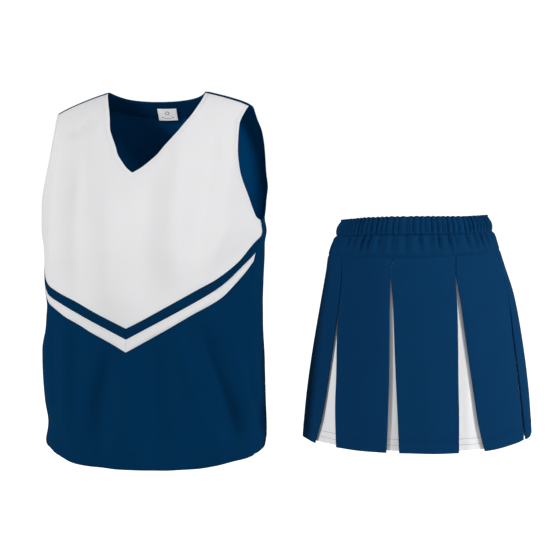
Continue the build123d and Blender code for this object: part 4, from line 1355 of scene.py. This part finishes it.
profile = []
H_Y = CASING_LOW - 0.4 - (SEAM + 0.2)
for t in np.linspace(0, 1, 17):                     # outer face, bottom to top
    z = SEAM + 0.2 + H_Y * t
    amp = 0.25 + 2.0 * smooth(t / 0.9)
    dip = -0.7 * math.exp(-(t * H_Y / 1.5) ** 2) - 1.6 * math.exp(-((1 - t) * H_Y / 2.2) ** 2)
    swell = 0.7 * math.sin(math.pi * t)
    sharp_r = rw * amp * (1 - 0.45 * math.exp(-((1 - t) * H_Y / 3.0) ** 2)) + rf * 0.35 * smooth((t - 0.75) / 0.25)
    profile.append((z, dip + swell, sharp_r, 0 * rf))
for z, out in ((CASING_LOW + 0.5, -2.3), (CASING_LOW + 1.5, -2.5), (CASING_LOW + 1.5, -3.4), (CASING_LOW + 0.4, -3.4)):
    profile.append((z, out, 0.3 * rf, 0 * rf))               # tucked up inside the casing
for t in np.linspace(1, 0, 9):
    z = SEAM + 0.2 + H_Y * t
    amp = 0.25 + 2.0 * smooth(t / 0.9)
    profile.append((z, -1.9 + 0.7 * math.sin(math.pi * t) - 1.1, rw * amp * 0.8, 0 * rf))
for z, out in ((SEAM - 2.0, -3.2), (SEAM - 5.5, -3.3), (SEAM - 6.5, -2.9), (SEAM - 5.5, -2.4), (SEAM - 1.6, -2.2)):
    profile.append((z, out, 0 * rf, 0 * rf))                 # the seam allowance, behind the pleats
pieces["hip_yoke"] = band_object("hip_yoke_cloth", profile, pleat_navy)

# elastic inside the casing: ribbed ring
cords = np.sin(np.radians(angles) * 0) * 0
profile = []
for t in np.linspace(0, 1, 45):
    z = CASING_LOW + 2.0 + 19.0 * t
    lean = 1.6 * float(smooth(np.array((t - 0.4) / 0.7)))
    profile.append((z, -3.2 - lean + 0.12 * math.sin(t * 2 * math.pi * 11), 0 * rf, 0 * rf))
for t in np.linspace(1, 0, 9):
    lean = 1.6 * float(smooth(np.array((t - 0.4) / 0.7)))
    profile.append((CASING_LOW + 2.0 + 19.0 * t, -3.85 - lean, 0 * rf, 0 * rf))
pieces["waist_elastic"] = band_object("waist_elastic_band", profile, elastic_rubber)

# waist stitching: the line that closes the casing, and the seam line over the pleats
parts = []
for z, out in ((CASING_LOW + 2.4, 0.55), (SEAM + 3.2, 0.35)):
    tilt = CASING_TILT if z > -220 else SEAM_TILT
    if z > -220:
        t = (z - (CASING_LOW + 0.6)) / (H_C - 2.6)
        grow = 0.35 + 0.65 * float(smooth(np.array(t / 0.28)))
        base = -0.9 + 1.7 * math.sin(math.pi * min(t * 0.9 + 0.08, 1.0)) ** 0.8 * 0.9
        ring = band_ring(z, base, rf * 1.35 * grow, tilt)
    else:
        t = (z - (SEAM + 0.2)) / H_Y
        base = -0.9 * math.exp(-(t * H_Y / 1.7) ** 2) + 0.7 * math.sin(math.pi * t)
        ring = band_ring(z, base, rw * (0.25 + 2.0 * float(smooth(np.array(t / 0.9)))), tilt)
    nrm = band_ring(z, 1.0, 0 * rf, tilt) - band_ring(z, 0.0, 0 * rf, tilt)
    parts.append(thread(np.concatenate([ring, ring[:1]]) / 1000, np.concatenate([nrm, nrm[:1]]), pitch=3.0))
v, f = joined(parts)
waist_stitches = new_object("waist_stitching", v, f, mats=[navy_thread])

# ------------------------------------------------------------------ bodies and replacements
for key, ob in pieces.items():
    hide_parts(key)
    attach(ob, "skirt" if key in ("waistband_casing", "waist_elastic", "hip_yoke") else "shell")
for ob, sl in ((shell_navy_stitches, "navy_knit"), (shell_white_stitches, "white_knit"), (overcasting, "navy_knit"),
               (label_mark, "label_satin"), (label_stitches, "label_satin")):
    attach(ob, "shell")
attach(waist_stitches, "skirt")

for k, pname in enumerate(PANELS):
    key = f"pleat_{pname}"
    ob = panel_objects[key]
    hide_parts(key)
    x, y = SKIRT_X / 1000, 0.0
    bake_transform(ob)
    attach(thread_objects[key], key)
for name, ob in inset_objects.items():
    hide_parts(name)
    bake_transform(ob)
    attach(thread_objects[name], name)


# ------------------------------------------------------------------ sheet cut sizes in metres; declare() only clamps the area and stores nothing
def box_of(ob):
    co = np.empty(len(ob.data.vertices) * 3)
    ob.data.vertices.foreach_get("co", co)
    co = co.reshape(-1, 3)
    return co.min(0), co.max(0)


def declare(width, length, area):
    area = min(max(area, 0.301 * width * length), width * length)


declare(0.470, 0.400, flat["front_yoke"])
declare(0.500, 0.600, flat["back_panel"])
declare(0.440, 0.330, flat["front_body"])
for colour in ("navy", "white"):
    for word in ("left", "right"):
        key = f"chevron_{colour}_{word}"
        declare(0.275, 0.0185, flat[key])
declare(0.205, 0.150, flat["neck_facing_front"])
declare(0.260, 0.075, flat["neck_facing_back"])
for key in ("shoulder_tape_left", "shoulder_tape_right"):
    declare(0.060, 0.012, 0.060 * 0.012)
declare(0.030, 0.022, 0.030 * 0.022)
declare(0.780, 0.059, 0.780 * 0.059)
declare(0.820, 0.036, 0.820 * 0.036)
declare(0.640, 0.022, 0.640 * 0.022)
for key, ob in list(panel_objects.items()) + list(inset_objects.items()):
    bm_area = sum(p.area for p in ob.data.polygons) / 2
    width = bm_area / 0.272
    declare(width * 1.18, 0.285, bm_area)

# ------------------------------------------------------------------ studio
SURROUND, KEY, FILL, FRONT, FLOOR_GLOW = 0.24, 72.0, 74.0, 4.0, 0.98
floor_z = -1.1
mesh = bpy.data.meshes.new("floor")
n_f = 64
vs = [(0.18 + 40 * math.cos(2 * math.pi * i / n_f), 40 * math.sin(2 * math.pi * i / n_f), floor_z) for i in range(n_f)]
mesh.from_pydata(vs, [], [tuple(range(n_f))])
floor = bpy.data.objects.new("floor", mesh)
scene.collection.objects.link(floor)


def two_sided_light(nt, out, seen, lighting):
    """What is seen directly, and what lights the cloth, as two shaders."""
    path_ = nt.nodes.new("ShaderNodeLightPath")
    mix = nt.nodes.new("ShaderNodeMixShader")
    nt.links.new(path_.outputs["Is Camera Ray"], mix.inputs["Fac"])
    nt.links.new(lighting.outputs[0], mix.inputs[1])
    nt.links.new(seen.outputs[0], mix.inputs[2])
    nt.links.new(mix.outputs["Shader"], out.inputs["Surface"])


floor_mat = bpy.data.materials.new("studio_floor")
floor_mat.use_nodes = True
nt = floor_mat.node_tree
nt.nodes.clear()
out_node = nt.nodes.new("ShaderNodeOutputMaterial")
diffuse = nt.nodes.new("ShaderNodeBsdfDiffuse")
diffuse.inputs["Color"].default_value = (0.80, 0.80, 0.80, 1)
glow = nt.nodes.new("ShaderNodeEmission")
glow.inputs["Color"].default_value = (1, 1, 1, 1)
glow.inputs["Strength"].default_value = FLOOR_GLOW
lit = nt.nodes.new("ShaderNodeAddShader")
nt.links.new(diffuse.outputs[0], lit.inputs[0])
nt.links.new(glow.outputs[0], lit.inputs[1])
dim = nt.nodes.new("ShaderNodeBsdfDiffuse")
dim.inputs["Color"].default_value = (0.62, 0.62, 0.62, 1)
two_sided_light(nt, out_node, lit, dim)
mesh.materials.append(floor_mat)

world = bpy.data.worlds.new("studio")
scene.world = world
world.use_nodes = True
nt = world.node_tree
nt.nodes.clear()
out_node = nt.nodes.new("ShaderNodeOutputWorld")
seen = nt.nodes.new("ShaderNodeBackground")
seen.inputs["Color"].default_value = (1, 1, 1, 1)
seen.inputs["Strength"].default_value = 1.05
lighting = nt.nodes.new("ShaderNodeBackground")
lighting.inputs["Color"].default_value = (1.0, 1.0, 1.0, 1)
lighting.inputs["Strength"].default_value = SURROUND
two_sided_light(nt, out_node, seen, lighting)


def softbox(name, location, target, size, power, colour=(1, 1, 1)):
    light = bpy.data.lights.new(name, "AREA")
    light.shape, light.size, light.size_y = "RECTANGLE", size[0], size[1]
    light.energy, light.color = power, colour
    ob = bpy.data.objects.new(name, light)
    ob.location = location
    ob.rotation_euler = (Vector(target) - Vector(location)).to_track_quat("-Z", "Y").to_euler()
    scene.collection.objects.link(ob)
    return ob


centre = (0.2, 0.0, -0.28)
softbox("key", (-2.45, -1.75, 1.0), centre, (0.6, 1.3), KEY)
softbox("fill", (2.9, -1.35, 0.5), centre, (0.6, 1.3), FILL)
softbox("front", (0.1, -2.9, 0.05), (0.1, 0.0, -0.15), (0.8, 0.6), FRONT)
